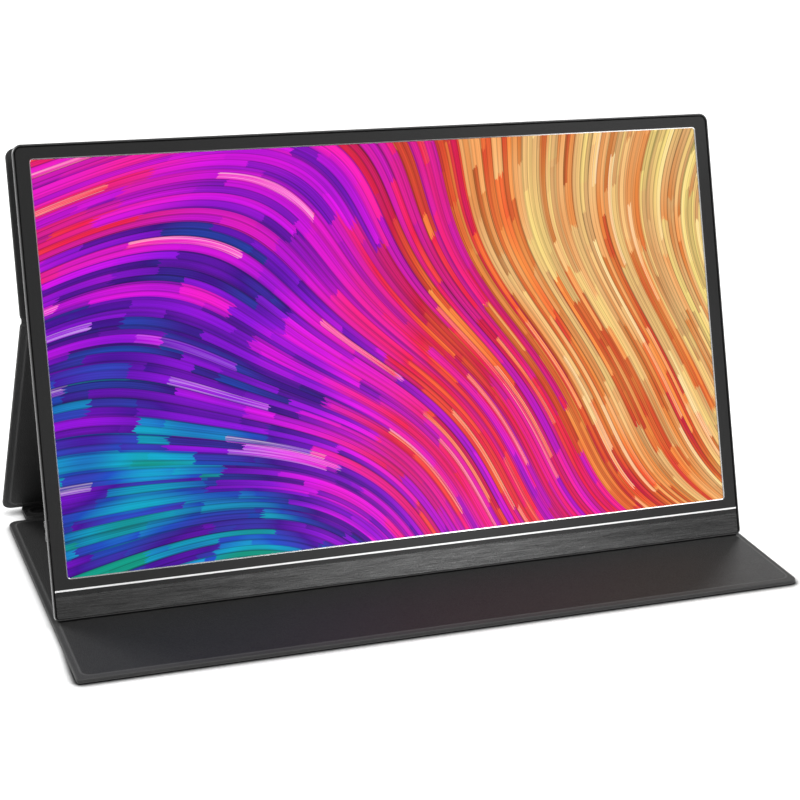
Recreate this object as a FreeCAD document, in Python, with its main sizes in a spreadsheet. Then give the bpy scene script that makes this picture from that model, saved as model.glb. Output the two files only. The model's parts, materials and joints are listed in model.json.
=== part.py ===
import FreeCAD, Part
import math
import os

import Sketcher
from FreeCAD import Placement, Rotation, Vector

# Portable monitor standing in its folding leather cover.
# World frame: X across the screen, -Y towards the viewer, +Z up, floor at Z = 0.
# The origin is the middle of the bounding box, on the floor.

SIZES = [
    # Screen and body outline
    ("screen_width", 344.2, "lit area across, 15.6 inch at 16:9"),
    ("screen_height", 193.6, "lit area up the screen"),
    ("screen_corner", 1.2, "corner radius of the lit area"),
    ("side_border", 8.2, "lit area to the body's side"),
    ("top_border", 7.3, "lit area to the body's top"),
    ("chin_border", 19.4, "lit area to the body's bottom"),
    ("top_corner", 4.5, "corner radius of the body, top"),
    ("bottom_corner", 2.6, "corner radius of the body, bottom"),
    ("lean", 20.0, "degrees that the screen leans back"),
    # Rear housing
    ("body_depth", 12.5, "front of the rim to the back face"),
    ("rim_depth", 1.2, "upright part of the side wall"),
    ("rim_wall", 0.8, "thickness of the rim"),
    ("rim_chamfer", 0.38, "bright chamfer on the rim's front edge"),
    ("ledge_depth", 1.15, "front of the rim to the ledge that carries the front panels"),
    ("ledge_width", 0.8, "width of that ledge"),
    ("floor_wall", 1.2, "thickness of the back wall"),
    ("cavity_corner", 2.0, "corner radius of the hollow in the housing"),
    # Front panels
    ("rim_gap", 0.75, "shadow gap between the rim and the front panels"),
    ("panel_fit", 0.1, "gap between neighbouring front panels"),
    ("bezel_step", 0.4, "bezel face below the rim"),
    ("trim_width", 0.52, "bright bevelled trim around the lit area"),
    ("trim_bevel", 0.36, "bevel on the trim's inner edge"),
    ("trim_step", 0.25, "trim face below the rim"),
    ("chin_step", 0.3, "chin plate below the rim"),
    ("chin_gap", 0.25, "gap between the rim and the chin plate's lower edge"),
    ("chin_face", 11.1, "top of the brushed chin face above the body's bottom"),
    ("chin_groove", 0.4, "dark groove between the chin face and the bezel"),
    ("groove_depth", 0.45, "depth of that groove"),
    ("lip_height", 2.0, "part of the bezel below the strip"),
    ("channel_depth", 0.45, "depth of the strip's channel in the bezel"),
    ("strip_height", 0.8, "bright strip above the chin"),
    ("strip_rise", 0.65, "thickness of the bright strip"),
    # Display module
    ("glass_border", 3.3, "glass beyond the lit area"),
    ("glass_thickness", 1.3, "cell and polarisers"),
    ("films_thickness", 0.5, "diffuser and prism films"),
    ("guide_thickness", 0.65, "light guide"),
    ("reflector_thickness", 0.2, "reflector sheet"),
    ("tray_wall", 0.4, "steel tray"),
    ("sheet_fit", 0.3, "gap around the sheets in the tray"),
    ("led_width", 1.5, "width of the light bar"),
    ("tape_thickness", 0.2, "tape between the tray and the rails"),
    ("rail_width", 4.0, "width of the housing's rails"),
    ("rail_inset", 8.0, "rails in from the body's side"),
    ("rail_low", 22.0, "lower end of the side rails"),
    # Electronics
    ("boss_height", 0.8, "board above the back wall"),
    ("boss_radius", 2.6, "screw boss"),
    ("boss_inset", 5.0, "bosses in from the board's edges"),
    ("board_thickness", 1.0, "main board"),
    ("board_width", 108.0, "main board across"),
    ("board_height", 86.0, "main board up the screen"),
    ("board_low", 54.0, "main board's lower edge above the body's bottom"),
    ("board_inset", 10.4, "main board's edge in from the body's side"),
    ("screw_radius", 0.9, "screw shank"),
    ("screw_head_radius", 1.8, "screw head"),
    ("screw_head_height", 0.6, "screw head"),
    ("screw_length", 1.6, "shank below the head"),
    ("screw_fit", 0.05, "radial gap around a shank"),
    ("chip_side", 14.0, "video chip"),
    ("chip_height", 1.2, "all chips"),
    ("memory_width", 8.4, "memory chip"),
    ("memory_length", 7.0, "memory chip"),
    ("coil_side", 5.6, "coils of the power supply"),
    ("coil_spread", 8.4, "coils out from the board's middle"),
    ("shield_margin", 6.0, "shield can beyond the video chip"),
    ("shield_height", 1.9, "shield can"),
    ("shield_wall", 0.2, "shield can"),
    ("driver_height", 7.0, "panel driver board up the screen"),
    ("driver_thickness", 0.8, "panel driver board"),
    ("driver_length", 300.0, "panel driver board across"),
    ("driver_low", 4.2, "panel driver board above the body's bottom"),
    ("driver_step", 1.8, "driver board's face below the rim"),
    ("shelf_width", 2.0, "shelf under the driver board"),
    ("flex_width", 22.0, "flexible films from the glass to the driver board"),
    ("flex_thickness", 0.15, "flexible films"),
    ("flex_lap", 2.0, "film bonded on the driver board"),
    ("ribbon_width", 20.0, "ribbon between the boards"),
    ("ribbon_lap", 5.0, "ribbon plugged over the main board"),
    # Sockets on the right edge
    ("socket_rise", 2.4, "socket axis above the back wall"),
    ("socket_fit", 0.2, "gap around a socket in the wall"),
    ("socket_recess", 0.3, "socket mouth behind the wall's outer face"),
    ("usb_width", 8.94, "USB-C shell"),
    ("usb_height", 3.16, "USB-C shell"),
    ("usb_wall", 0.3, "USB-C shell"),
    ("usb_depth", 6.2, "USB-C cavity"),
    ("tongue_width", 6.7, "USB-C tongue"),
    ("tongue_height", 0.7, "USB-C tongue"),
    ("tongue_length", 4.5, "USB-C tongue"),
    ("hdmi_width", 11.2, "mini HDMI shell"),
    ("hdmi_height", 3.2, "mini HDMI shell"),
    ("hdmi_corner", 0.7, "mini HDMI shell"),
    ("hdmi_tongue", 7.8, "mini HDMI tongue"),
    ("jack_width", 6.0, "headphone jack body"),
    ("jack_height", 4.2, "headphone jack body"),
    ("jack_bore", 1.8, "headphone jack bore radius"),
    ("jack_nose", 2.15, "headphone jack nose radius"),
    ("jack_depth", 13.2, "headphone jack bore depth from its mouth"),
    ("jack_length", 12.0, "headphone jack body length"),
    ("hdmi_place", 80.0, "mini HDMI socket above the body's bottom"),
    ("data_place", 98.0, "USB-C data socket above the body's bottom"),
    ("power_place", 114.0, "USB-C power socket above the body's bottom"),
    # Power button on the right edge
    ("button_place", 131.0, "power button above the body's bottom"),
    ("button_length", 12.0, "power button along the edge"),
    ("button_height", 2.6, "power button through the wall"),
    ("button_fit", 0.15, "gap around the button"),
    ("button_travel", 0.5, "power button travel"),
    ("button_flange", 0.8, "flange that keeps the button in"),
    ("switch_length", 5.0, "power switch along the edge"),
    ("switch_height", 1.6, "power switch above the board"),
    ("switch_depth", 3.4, "power switch across"),
    # Menu rocker on the left edge
    ("rocker_place", 42.0, "menu rocker above the body's bottom"),
    ("rocker_length", 10.0, "menu rocker along the edge"),
    ("rocker_height", 2.5, "menu rocker across the edge"),
    ("rocker_step", 1.35, "menu rocker below the rim's front"),
    ("rocker_proud", 0.15, "menu rocker out of the side"),
    ("rocker_depth", 3.45, "menu rocker into the side"),
    ("rocker_fit", 0.25, "gap around the rocker in its slot"),
    ("rocker_barrel", 0.8, "radius of the rocker's pivot barrel"),
    ("rocker_running", 0.05, "radial gap around that barrel"),
    ("rocker_gap", 0.3, "rocker to its switches at rest"),
    ("rocker_bracket_length", 2.8, "bracket that holds the barrel"),
    ("rocker_bracket_gap", 0.25, "rocker to the bracket's face"),
    ("key_board_length", 16.0, "key board along the edge"),
    ("key_board_thickness", 0.4, "key board"),
    ("key_switch_length", 2.6, "key switch along the edge"),
    ("key_fit", 0.15, "key board to the glass"),
    ("key_flex_width", 3.0, "flexible lead of the key board"),
    # Speakers
    ("speaker_width", 44.0, "speaker box across"),
    ("speaker_height", 14.0, "speaker box up the screen"),
    ("speaker_depth", 3.6, "speaker box"),
    ("speaker_corner", 2.0, "speaker box"),
    ("speaker_inset", 17.0, "speaker box in from the body's side"),
    ("speaker_low", 23.0, "speaker box above the body's bottom"),
    ("grille_slot", 1.2, "width of a speaker slot"),
    ("grille_length", 8.0, "length of a speaker slot"),
    ("grille_pitch", 4.0, "pitch of the speaker slots"),
    ("lead_width", 4.0, "flat speaker lead"),
    ("lead_thickness", 0.2, "flat speaker lead"),
    # Magnets in the housing
    ("magnet_length", 26.0, "bar magnet"),
    ("magnet_width", 6.0, "bar magnet"),
    ("magnet_thickness", 1.2, "bar magnet"),
    ("magnet_spread", 110.0, "magnets out from the middle"),
    ("magnet_top", 20.0, "upper magnets below the body's top"),
    ("magnet_drop", 20.0, "upper magnets to the next row"),
    ("chin_magnet_width", 3.0, "magnet along the chin"),
    ("chin_magnet_low", 9.0, "chin magnets above the body's bottom"),
    # Cover
    ("cover_overhang", 0.9, "cover beyond each side of the body"),
    ("hem", 2.2, "thickness of the cover's edge"),
    ("hem_round", 1.05, "rounding of the cover's edge"),
    ("hem_width", 4.0, "flat band around the raised board"),
    ("skin_thickness", 0.6, "leather on the outside"),
    ("board_sheet", 1.2, "stiffening board in the cover"),
    ("plateau", 2.5, "thickness over the board"),
    ("plateau_round", 0.5, "rounding of the raised face"),
    ("pocket_corner", 3.0, "corner radius of the board's pocket"),
    ("board_fit", 0.15, "gap around a board in its pocket"),
    ("pad_thickness", 0.4, "adhesive pad between the body and the cover"),
    ("pad_inset", 6.0, "adhesive pad in from the back panel's edge"),
    ("fold_gap", 1.5, "panel end to the fold's axis"),
    ("cover_corner", 4.5, "corner radius of the back panel's top"),
    ("fold_corner", 0.6, "corner radius of the panels beside the upper fold"),
    ("foot_corner", 5.0, "corner radius of the panels beside the spine"),
    ("front_corner", 2.2, "corner radius of the base's front edge"),
    ("leg_pitch", 149.8, "upper fold to foot fold"),
    ("spine_pitch", 17.0, "foot fold to base fold"),
    ("spine_inset", 9.8, "spine in from the sides of the other panels"),
    ("spine_corner", 1.0, "corner radius of the spine"),
    ("spine_hem", 2.6, "flat band around the spine's board"),
    ("base_depth", 175.8, "base panel, front to back"),
    ("stand_gap", 0.15, "chin above the base panel"),
    # Shared
    ("least_corner", 0.3, "smallest corner radius that an inset may leave"),
    ("overrun", 1.0, "how far a cut runs past the face that it opens"),
]

doc = FreeCAD.newDocument("PortableMonitor")
sheet = doc.addObject("Spreadsheet::Sheet", "Sizes")


class Size:
    """A size with its value and the sheet formula that gives it."""

    def __init__(self, value, formula):
        self.value = value
        self.formula = formula

    def joined(self, other, sign, value):
        text = other.formula if isinstance(other, Size) else repr(other)
        return Size(value, f"({self.formula} {sign} {text})")

    def __add__(self, other):
        return self.joined(other, "+", self.value + plain(other))

    def __sub__(self, other):
        return self.joined(other, "-", self.value - plain(other))

    def __mul__(self, other):
        return self.joined(other, "*", self.value * plain(other))

    def __truediv__(self, other):
        return self.joined(other, "/", self.value / plain(other))

    def __neg__(self):
        return Size(-self.value, f"(-1 * {self.formula})")


def plain(size):
    return size.value if isinstance(size, Size) else size


def tangent(angle):
    return Size(math.tan(math.radians(angle.value)), f"tan({angle.formula})")


def larger(first, second):
    return Size(max(first.value, second.value), f"max({first.formula}; {second.formula})")


class Named:
    """The sizes of the sheet, each under its own name."""


dim = Named()
for row, (name, value, note) in enumerate(SIZES, start=1):
    sheet.set(f"A{row}", note)
    sheet.set(f"B{row}", str(value))
    sheet.setAlias(f"B{row}", name)
    setattr(dim, name, Size(value, f"Sizes.{name}"))
zero = Size(0.0, "0")
doc.recompute()

# How near two heights count as one level
tolerance = 1e-5

# Corner radius over width that makes the ends of a slot nearly half circles
round_share = 0.49

# Flexible films along the panel's lower edge
film_count = 6

# Height of the upper fold up the back over the body's height
fold_share = 0.6323

# Sizes that follow from the sheet

body_width = dim.screen_width + dim.side_border * 2
body_height = dim.screen_height + dim.top_border + dim.chin_border
half_width = body_width / 2
edge_inset = (dim.body_depth - dim.rim_depth) * tangent(dim.lean)
front_inset = dim.rim_wall + dim.rim_gap
bezel_low = dim.chin_face + dim.chin_groove
strip_low = bezel_low + dim.lip_height
strip_high = strip_low + dim.strip_height
cover_half = half_width + dim.cover_overhang
spine_half = cover_half - dim.spine_inset
fold_radius = dim.hem / 2
fold_rise = body_height * fold_share

# Levels in the display's own frame: X across, Y up the screen, Z out of the screen,
# zero at the middle of the body's bottom front edge

ledge_level = -dim.ledge_depth
rim_level = -dim.rim_depth
glass_level = ledge_level - dim.glass_thickness
films_level = glass_level - dim.films_thickness
guide_level = films_level - dim.guide_thickness
reflector_level = guide_level - dim.reflector_thickness
tray_level = reflector_level - dim.tray_wall
rail_level = tray_level - dim.tape_thickness
back_level = -dim.body_depth
floor_level = back_level + dim.floor_wall
board_level = floor_level + dim.boss_height
board_face = board_level + dim.board_thickness
socket_level = floor_level + dim.socket_rise
driver_face = -dim.driver_step
driver_level = driver_face - dim.driver_thickness


class Outline:
    """A rectangle with its own radius at each corner, counted from the lower left."""

    def __init__(self, left, right, low, high, radii):
        self.left = left
        self.right = right
        self.low = low
        self.high = high
        self.radii = radii

    def inset(self, margin):
        radii = [larger(radius - margin, dim.least_corner) if radius.value else radius
                 for radius in self.radii]
        return Outline(self.left + margin, self.right - margin,
                       self.low + margin, self.high - margin, radii)


def even(half, low, high, radius=zero):
    """An outline that is symmetric about the middle plane."""
    return Outline(-half, half, low, high, [radius] * 4)


def around(x, y, width, height, radius=zero):
    """An outline given by its middle and its two sizes."""
    return Outline(x - width / 2, x + width / 2, y - height / 2, y + height / 2, [radius] * 4)


def moved(frame, x, y, z):
    return frame.multiply(Placement(Vector(plain(x), plain(y), plain(z)), Rotation()))


def fold_frame(y, z, degrees):
    """A cover panel's frame: zero on its outer face below the fold axis at (y, z)."""
    turn = Placement(Vector(0, y, z), Rotation(Vector(1, 0, 0), degrees))
    return moved(turn, 0, 0, -fold_radius)


# Where the folds lie, from the triangle of display, leg and floor

lean_angle = math.radians(dim.lean.value)
up_step = Vector(0, math.sin(lean_angle), math.cos(lean_angle))
back_step = Vector(0, math.cos(lean_angle), -math.sin(lean_angle))
chin_rise = (dim.plateau + dim.stand_gap).value + dim.rim_depth.value * math.sin(lean_angle)
fold_depth = (dim.body_depth + dim.pad_thickness + dim.plateau - fold_radius).value
back_fold_reach = up_step * fold_rise.value + back_step * fold_depth
leg_rise = chin_rise + back_fold_reach.z - fold_radius.value
leg_run = math.sqrt(dim.leg_pitch.value ** 2 - leg_rise ** 2)
leg_angle = 180 - math.degrees(math.asin(leg_rise / dim.leg_pitch.value))
screen_angle = 90 - dim.lean.value
back_end = back_fold_reach.y + leg_run + fold_radius.value
base_fold_reach = back_fold_reach.y + leg_run - dim.spine_pitch.value
front_end = base_fold_reach - (dim.fold_gap + dim.base_depth).value
chin_y = -(front_end + back_end) / 2
base_fold_y = chin_y + base_fold_reach
foot_fold_y = base_fold_y + dim.spine_pitch.value
back_fold_y = chin_y + back_fold_reach.y
back_fold_z = chin_rise + back_fold_reach.z
floor_fold_z = fold_radius.value

# The chin's front edge in the base panel's frame
chin_reach = Size(-base_fold_reach, repr(-base_fold_reach))

display_frame = Placement(Vector(0, chin_y, chin_rise), Rotation(Vector(1, 0, 0), screen_angle))
back_frame = fold_frame(back_fold_y, back_fold_z, screen_angle)
leg_frame = fold_frame(foot_fold_y, floor_fold_z, leg_angle)
spine_frame = fold_frame(base_fold_y, floor_fold_z, 0)
base_frame = fold_frame(base_fold_y, floor_fold_z, 0)

nodes = []


def named(label, thing):
    thing.Label = label
    nodes.append(thing)
    return thing


# Helpers for bodies made of sketches

def new_body(label, frame):
    body = doc.addObject("PartDesign::Body", label)
    body.Placement = frame
    return named(label, body)


def new_sketch(body, role, offset):
    plane = next(part for part in body.Origin.OriginFeatures if part.Role == role)
    sketch = body.newObject("Sketcher::SketchObject", "Sketch")
    sketch.AttachmentSupport = [(plane, "")]
    sketch.MapMode = "FlatFace"
    sketch.setExpression("AttachmentOffset.Base.z", offset.formula)
    sketch.AttachmentOffset = Placement(Vector(0, 0, offset.value), Rotation())
    return sketch


def bind(sketch, kind, items, size):
    """Add a driving constraint and tie it to the sheet."""
    index = sketch.addConstraint(Sketcher.Constraint(kind, *items, size.value))
    sketch.setExpression(f"Constraints[{index}]", size.formula)


def place_along(sketch, kind, geometry, point, size):
    """Hold a point at a signed distance from the sketch's origin."""
    axis = -2 if kind == "DistanceX" else -1
    if size.value == 0:
        sketch.addConstraint(Sketcher.Constraint("PointOnObject", geometry, point, axis))
    elif size.value > 0:
        bind(sketch, kind, (-1, 1, geometry, point), size)
    else:
        bind(sketch, kind, (geometry, point, -1, 1), -size)


def draw_outline(sketch, outline):
    """Four sides joined by tangent arcs, or by plain corners where a radius is zero."""
    left, right, low, high = (outline.left.value, outline.right.value,
                              outline.low.value, outline.high.value)
    corners = [(left, low, 1, 1), (right, low, -1, 1), (right, high, -1, -1), (left, high, 1, -1)]
    radii = [radius.value for radius in outline.radii]
    starts = []
    ends = []
    for (x, y, into_x, into_y), radius in zip(corners, radii):
        along_x = Vector(x + into_x * radius, y, 0)
        along_y = Vector(x, y + into_y * radius, 0)
        leaves_along_x = into_x == into_y
        starts.append(along_x if leaves_along_x else along_y)
        ends.append(along_y if leaves_along_x else along_x)
    sides = []
    for place in range(4):
        line = Part.LineSegment(starts[place], ends[(place + 1) % 4])
        sides.append(sketch.addGeometry(line, False))
        level = "Horizontal" if place % 2 == 0 else "Vertical"
        sketch.addConstraint(Sketcher.Constraint(level, sides[-1]))
    for place, (x, y, into_x, into_y) in enumerate(corners):
        before = sides[place - 1]
        after = sides[place]
        radius = radii[place]
        if radius == 0:
            sketch.addConstraint(Sketcher.Constraint("Coincident", before, 2, after, 1))
            continue
        middle = Vector(x + into_x * radius, y + into_y * radius, 0)
        first = math.radians(180 + 90 * place)
        circle = Part.Circle(middle, Vector(0, 0, 1), radius)
        arc = sketch.addGeometry(Part.ArcOfCircle(circle, first, first + math.radians(90)), False)
        sketch.addConstraint(Sketcher.Constraint("Tangent", before, 2, arc, 1))
        sketch.addConstraint(Sketcher.Constraint("Tangent", arc, 2, after, 1))
        bind(sketch, "Radius", (arc,), outline.radii[place])
    place_along(sketch, "DistanceY", sides[0], 1, outline.low)
    place_along(sketch, "DistanceX", sides[1], 1, outline.right)
    place_along(sketch, "DistanceY", sides[2], 1, outline.high)
    place_along(sketch, "DistanceX", sides[3], 1, outline.left)


def draw_circle(sketch, x, y, radius):
    circle = Part.Circle(Vector(x.value, y.value, 0), Vector(0, 0, 1), radius.value)
    index = sketch.addGeometry(circle, False)
    bind(sketch, "Radius", (index,), radius)
    place_along(sketch, "DistanceX", index, 3, x)
    place_along(sketch, "DistanceY", index, 3, y)


def finish(body, kind, sketch, length, backwards=False):
    """Pad or pocket a sketch and make sure that it changed the body as it should."""
    before = body.Shape.Volume if body.Tip else 0
    feature = body.newObject(f"PartDesign::{kind}", kind)
    feature.Profile = sketch
    feature.Reversed = backwards
    feature.setExpression("Length", length.formula)
    doc.recompute()
    grew = body.Shape.Volume - before
    if (kind == "Pad" and grew <= 0) or (kind == "Pocket" and grew >= 0):
        raise RuntimeError(f"{body.Label}: {kind} changed nothing")
    return feature


def pad(body, outlines, low, high, role="XY_Plane"):
    sketch = new_sketch(body, role, low)
    for outline in outlines:
        draw_outline(sketch, outline)
    return finish(body, "Pad", sketch, high - low)


def pocket(body, outlines, low, high, role="XY_Plane"):
    sketch = new_sketch(body, role, high)
    for outline in outlines:
        draw_outline(sketch, outline)
    return finish(body, "Pocket", sketch, high - low)


def loft(body, kind, outline_low, low, outline_high, high):
    """Add or cut a straight-sided solid between two outlines of one kind."""
    sketches = []
    for outline, level in ((outline_high, high), (outline_low, low)):
        sketch = new_sketch(body, "XY_Plane", level)
        draw_outline(sketch, outline)
        sketches.append(sketch)
    feature = body.newObject(f"PartDesign::{kind}", kind)
    feature.Profile = sketches[0]
    feature.Sections = [sketches[1]]
    feature.Ruled = True
    doc.recompute()
    return feature


def edges_at(feature, level):
    """Names of the edges that lie in one level."""
    found = []
    for index, edge in enumerate(feature.Shape.Edges, start=1):
        heights = [vertex.Z - level.value for vertex in edge.Vertexes]
        flat = max(heights) < tolerance and min(heights) > -tolerance
        if flat:
            found.append(f"Edge{index}")
    return found


def dress(body, kind, edges, size):
    """Fillet or chamfer the named edges of the body's last feature."""
    base = body.Tip
    feature = body.newObject(f"PartDesign::{kind}", kind)
    feature.Base = (base, edges)
    feature.setExpression("Radius" if kind == "Fillet" else "Size", size.formula)
    doc.recompute()
    return feature


# Helpers for plain solids and groups of them

def block(label, frame, outline, low, high):
    """A box over an outline's rectangle, between two levels."""
    box = doc.addObject("Part::Box", label)
    box.setExpression("Length", (outline.right - outline.left).formula)
    box.setExpression("Width", (outline.high - outline.low).formula)
    box.setExpression("Height", (high - low).formula)
    box.Placement = moved(frame, outline.left, outline.low, low)
    return box


def rod(label, frame, x, y, low, high, radius):
    """A cylinder along the frame's Z."""
    cylinder = doc.addObject("Part::Cylinder", label)
    cylinder.setExpression("Radius", radius.formula)
    cylinder.setExpression("Height", (high - low).formula)
    cylinder.Placement = moved(frame, x, y, low)
    return cylinder


def group(label, members):
    compound = doc.addObject("Part::Compound", label)
    compound.Links = members
    return named(label, compound)


def fused(members):
    fuse = doc.addObject("Part::MultiFuse", "Fused")
    fuse.Shapes = members
    return fuse


def plate(label, frame, outline, low, high):
    body = new_body(label, frame)
    pad(body, [outline], low, high)
    return body


# Display: outlines in the display's frame

body_outline = Outline(-half_width, half_width, zero, body_height,
                       [dim.bottom_corner, dim.bottom_corner, dim.top_corner, dim.top_corner])
lit_outline = even(dim.screen_width / 2, dim.chin_border, dim.chin_border + dim.screen_height,
                   dim.screen_corner)
trim_outline = lit_outline.inset(-dim.trim_width)
glass_outline = even(dim.screen_width / 2 + dim.glass_border, dim.chin_border - dim.glass_border,
                     dim.chin_border + dim.screen_height + dim.glass_border)
tray_room = glass_outline.inset(dim.tray_wall)
sheet_room = tray_room.inset(dim.sheet_fit)
guide_low = sheet_room.low + dim.led_width + dim.sheet_fit
board_right = half_width - dim.board_inset
board_outline = Outline(board_right - dim.board_width, board_right, dim.board_low,
                        dim.board_low + dim.board_height, [zero] * 4)
jack_place = board_outline.low - dim.jack_width / 2
driver_outline = even(dim.driver_length / 2, dim.driver_low, dim.driver_low + dim.driver_height)


def wall_inset(level):
    """How far the tapered side wall has come in at a level behind the rim."""
    return (-level - dim.rim_depth) * tangent(dim.lean)


# Inner face of the side wall where it meets the back wall
inner_side = half_width - dim.rim_wall - dim.ledge_width - wall_inset(floor_level)


def rail_outlines():
    """Rails that carry the display module: the top one and two parts on each side."""
    outer = half_width - dim.rail_inset
    inner = outer - dim.rail_width
    top = glass_outline.high - dim.rail_width
    clear = dim.rail_width
    jack_low = board_outline.low - dim.jack_width
    button_high = dim.button_place + dim.button_length
    rocker_low = dim.rocker_place - dim.rocker_length / 2
    rocker_high = dim.rocker_place + dim.rocker_length
    return [
        Outline(-inner + clear, inner - clear, top - dim.rail_width, top, [zero] * 4),
        Outline(-outer, -inner, dim.rail_low, rocker_low, [zero] * 4),
        Outline(-outer, -inner, rocker_high, top, [zero] * 4),
        Outline(inner, outer, dim.rail_low, jack_low - clear, [zero] * 4),
        Outline(inner, outer, larger(board_outline.high, button_high) + clear, top, [zero] * 4),
    ]


def board_screw_places():
    room = board_outline.inset(dim.boss_inset)
    return [(x, y) for x in (room.left, room.right) for y in (room.low, room.high)]


def slot_outlines(side):
    """Speaker slots on one side of the back wall, side by side."""
    middle = speaker_outline(side)
    x = (middle.left + middle.right) / 2
    y = (middle.low + middle.high) / 2
    slots = []
    for count in (-2, -1, 0, 1, 2):
        place = x + dim.grille_pitch * count
        slots.append(around(place, y, dim.grille_slot, dim.grille_length,
                            dim.grille_slot * round_share))
    return slots


def speaker_outline(side):
    outer = half_width - dim.speaker_inset
    inner = outer - dim.speaker_width
    left, right = (inner, outer) if side > 0 else (-outer, -inner)
    return Outline(left, right, dim.speaker_low, dim.speaker_low + dim.speaker_height,
                   [dim.speaker_corner] * 4)


def usb_outline(place, gap=zero):
    radius = dim.usb_height * round_share
    outline = around(place, socket_level, dim.usb_width, dim.usb_height, radius)
    return outline.inset(-gap)


def hdmi_outline(gap=zero):
    outline = around(dim.hdmi_place, socket_level, dim.hdmi_width, dim.hdmi_height,
                     dim.hdmi_corner)
    return outline.inset(-gap)


def button_outline(gap=zero):
    radius = dim.button_height * round_share
    outline = around(dim.button_place, socket_level, dim.button_length, dim.button_height, radius)
    return outline.inset(-gap)


def rear_housing():
    """Milled dish: rim, tapered side walls, back wall, rails and bosses."""
    body = new_body("rear_housing", display_frame)
    pad(body, [body_outline], rim_level, zero)
    small = body_outline.inset(edge_inset)
    loft(body, "AdditiveLoft", small, back_level, body_outline, rim_level)
    dress(body, "Chamfer", edges_at(body.Tip, zero), dim.rim_chamfer)
    pocket(body, [body_outline.inset(dim.rim_wall)], ledge_level, zero)
    well = body_outline.inset(dim.rim_wall + dim.ledge_width)
    well.radii = [dim.cavity_corner] * 4
    pocket(body, [well], rim_level, ledge_level)
    deep = well.inset(wall_inset(floor_level))
    deep.radii = [dim.cavity_corner] * 4
    loft(body, "SubtractiveLoft", deep, floor_level, well, rim_level)
    pad(body, rail_outlines(), floor_level, rail_level)
    shelf = even(dim.driver_length / 2, dim.driver_low + dim.shelf_width,
                 dim.driver_low + dim.shelf_width * 2)
    pad(body, [shelf], floor_level, driver_level)
    sketch = new_sketch(body, "XY_Plane", floor_level)
    for x, y in board_screw_places():
        draw_circle(sketch, x, y, dim.boss_radius)
    finish(body, "Pad", sketch, dim.boss_height)
    sketch = new_sketch(body, "XY_Plane", board_level)
    for x, y in board_screw_places():
        draw_circle(sketch, x, y, dim.screw_radius + dim.screw_fit)
    finish(body, "Pocket", sketch, dim.screw_length - dim.board_thickness + dim.screw_fit)
    for side in (-1, 1):
        pocket(body, slot_outlines(side), back_level, floor_level)
    reach = half_width + dim.overrun
    nose = dim.jack_nose * 2
    jack_hole = around(jack_place, socket_level, nose, nose, nose * round_share)
    openings = [usb_outline(dim.power_place, dim.socket_fit),
                usb_outline(dim.data_place, dim.socket_fit),
                hdmi_outline(dim.socket_fit),
                jack_hole.inset(-dim.socket_fit),
                button_outline(dim.button_fit)]
    pocket(body, openings, inner_side - dim.overrun, reach, "YZ_Plane")
    slot = rocker_outline().inset(-dim.rocker_fit)
    through = dim.rim_wall + dim.ledge_width + wall_inset(slot.low) + dim.rocker_fit
    pocket(body, [slot], -reach, through - half_width, "YZ_Plane")


def rocker_outline():
    high = -dim.rocker_step
    half = dim.rocker_length / 2
    return Outline(dim.rocker_place - half, dim.rocker_place + half, high - dim.rocker_height,
                   high, [zero] * 4)


def front_bezel():
    """Dark frame around the screen, with the bright strip let into its lower border."""
    outline = body_outline.inset(front_inset)
    outline.low = bezel_low
    outline.radii = [zero, zero, outline.radii[2], outline.radii[3]]
    body = plate("front_bezel", display_frame, outline, ledge_level, -dim.bezel_step)
    pocket(body, [trim_outline.inset(-dim.panel_fit / 2)], ledge_level, -dim.bezel_step)
    floor = -dim.bezel_step - dim.channel_depth
    half = half_width - front_inset
    pocket(body, [even(half + dim.overrun, strip_low, strip_high)], floor, -dim.bezel_step)
    plate("chin_strip", display_frame, even(half, strip_low, strip_high), floor,
          floor + dim.strip_rise)


def screen_trim():
    """Bevelled bright ring between the bezel and the lit area."""
    body = plate("screen_trim", display_frame, trim_outline, ledge_level, -dim.trim_step)
    pocket(body, [lit_outline], ledge_level, -dim.trim_step)
    loft(body, "SubtractiveLoft", lit_outline, -dim.trim_step - dim.trim_bevel,
         lit_outline.inset(-dim.trim_bevel), -dim.trim_step)


def chin_plate():
    """Brushed plate below the bezel, stepped down along its top to leave a dark groove."""
    outline = body_outline.inset(front_inset)
    outline.low = dim.rim_wall + dim.chin_gap
    outline.high = bezel_low - dim.panel_fit
    outline.radii = [outline.radii[0], outline.radii[1], zero, zero]
    body = plate("chin_plate", display_frame, outline, ledge_level, -dim.chin_step)
    groove = even(half_width, dim.chin_face, bezel_low)
    pocket(body, [groove], -dim.chin_step - dim.groove_depth, -dim.chin_step)


def display_module():
    """Glass, films, light guide, light bar and reflector in their steel tray."""
    plate("lcd_panel", display_frame, glass_outline, glass_level, ledge_level)
    guide = sheet_room.inset(zero)
    guide.low = guide_low
    plate("diffuser_films", display_frame, sheet_room, films_level, glass_level)
    plate("light_guide", display_frame, guide, guide_level, films_level)
    plate("reflector_sheet", display_frame, sheet_room, reflector_level, guide_level)
    bar = sheet_room.inset(zero)
    bar.high = bar.low + dim.led_width
    named("led_bar", block("led_bar", display_frame, bar, guide_level, films_level))
    tray = plate("panel_tray", display_frame, glass_outline, tray_level, glass_level)
    pocket(tray, [tray_room], reflector_level, glass_level)
    tapes = [block("Tape", display_frame, rail, rail_level, tray_level)
             for rail in rail_outlines()]
    group("panel_tapes", tapes)


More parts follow.
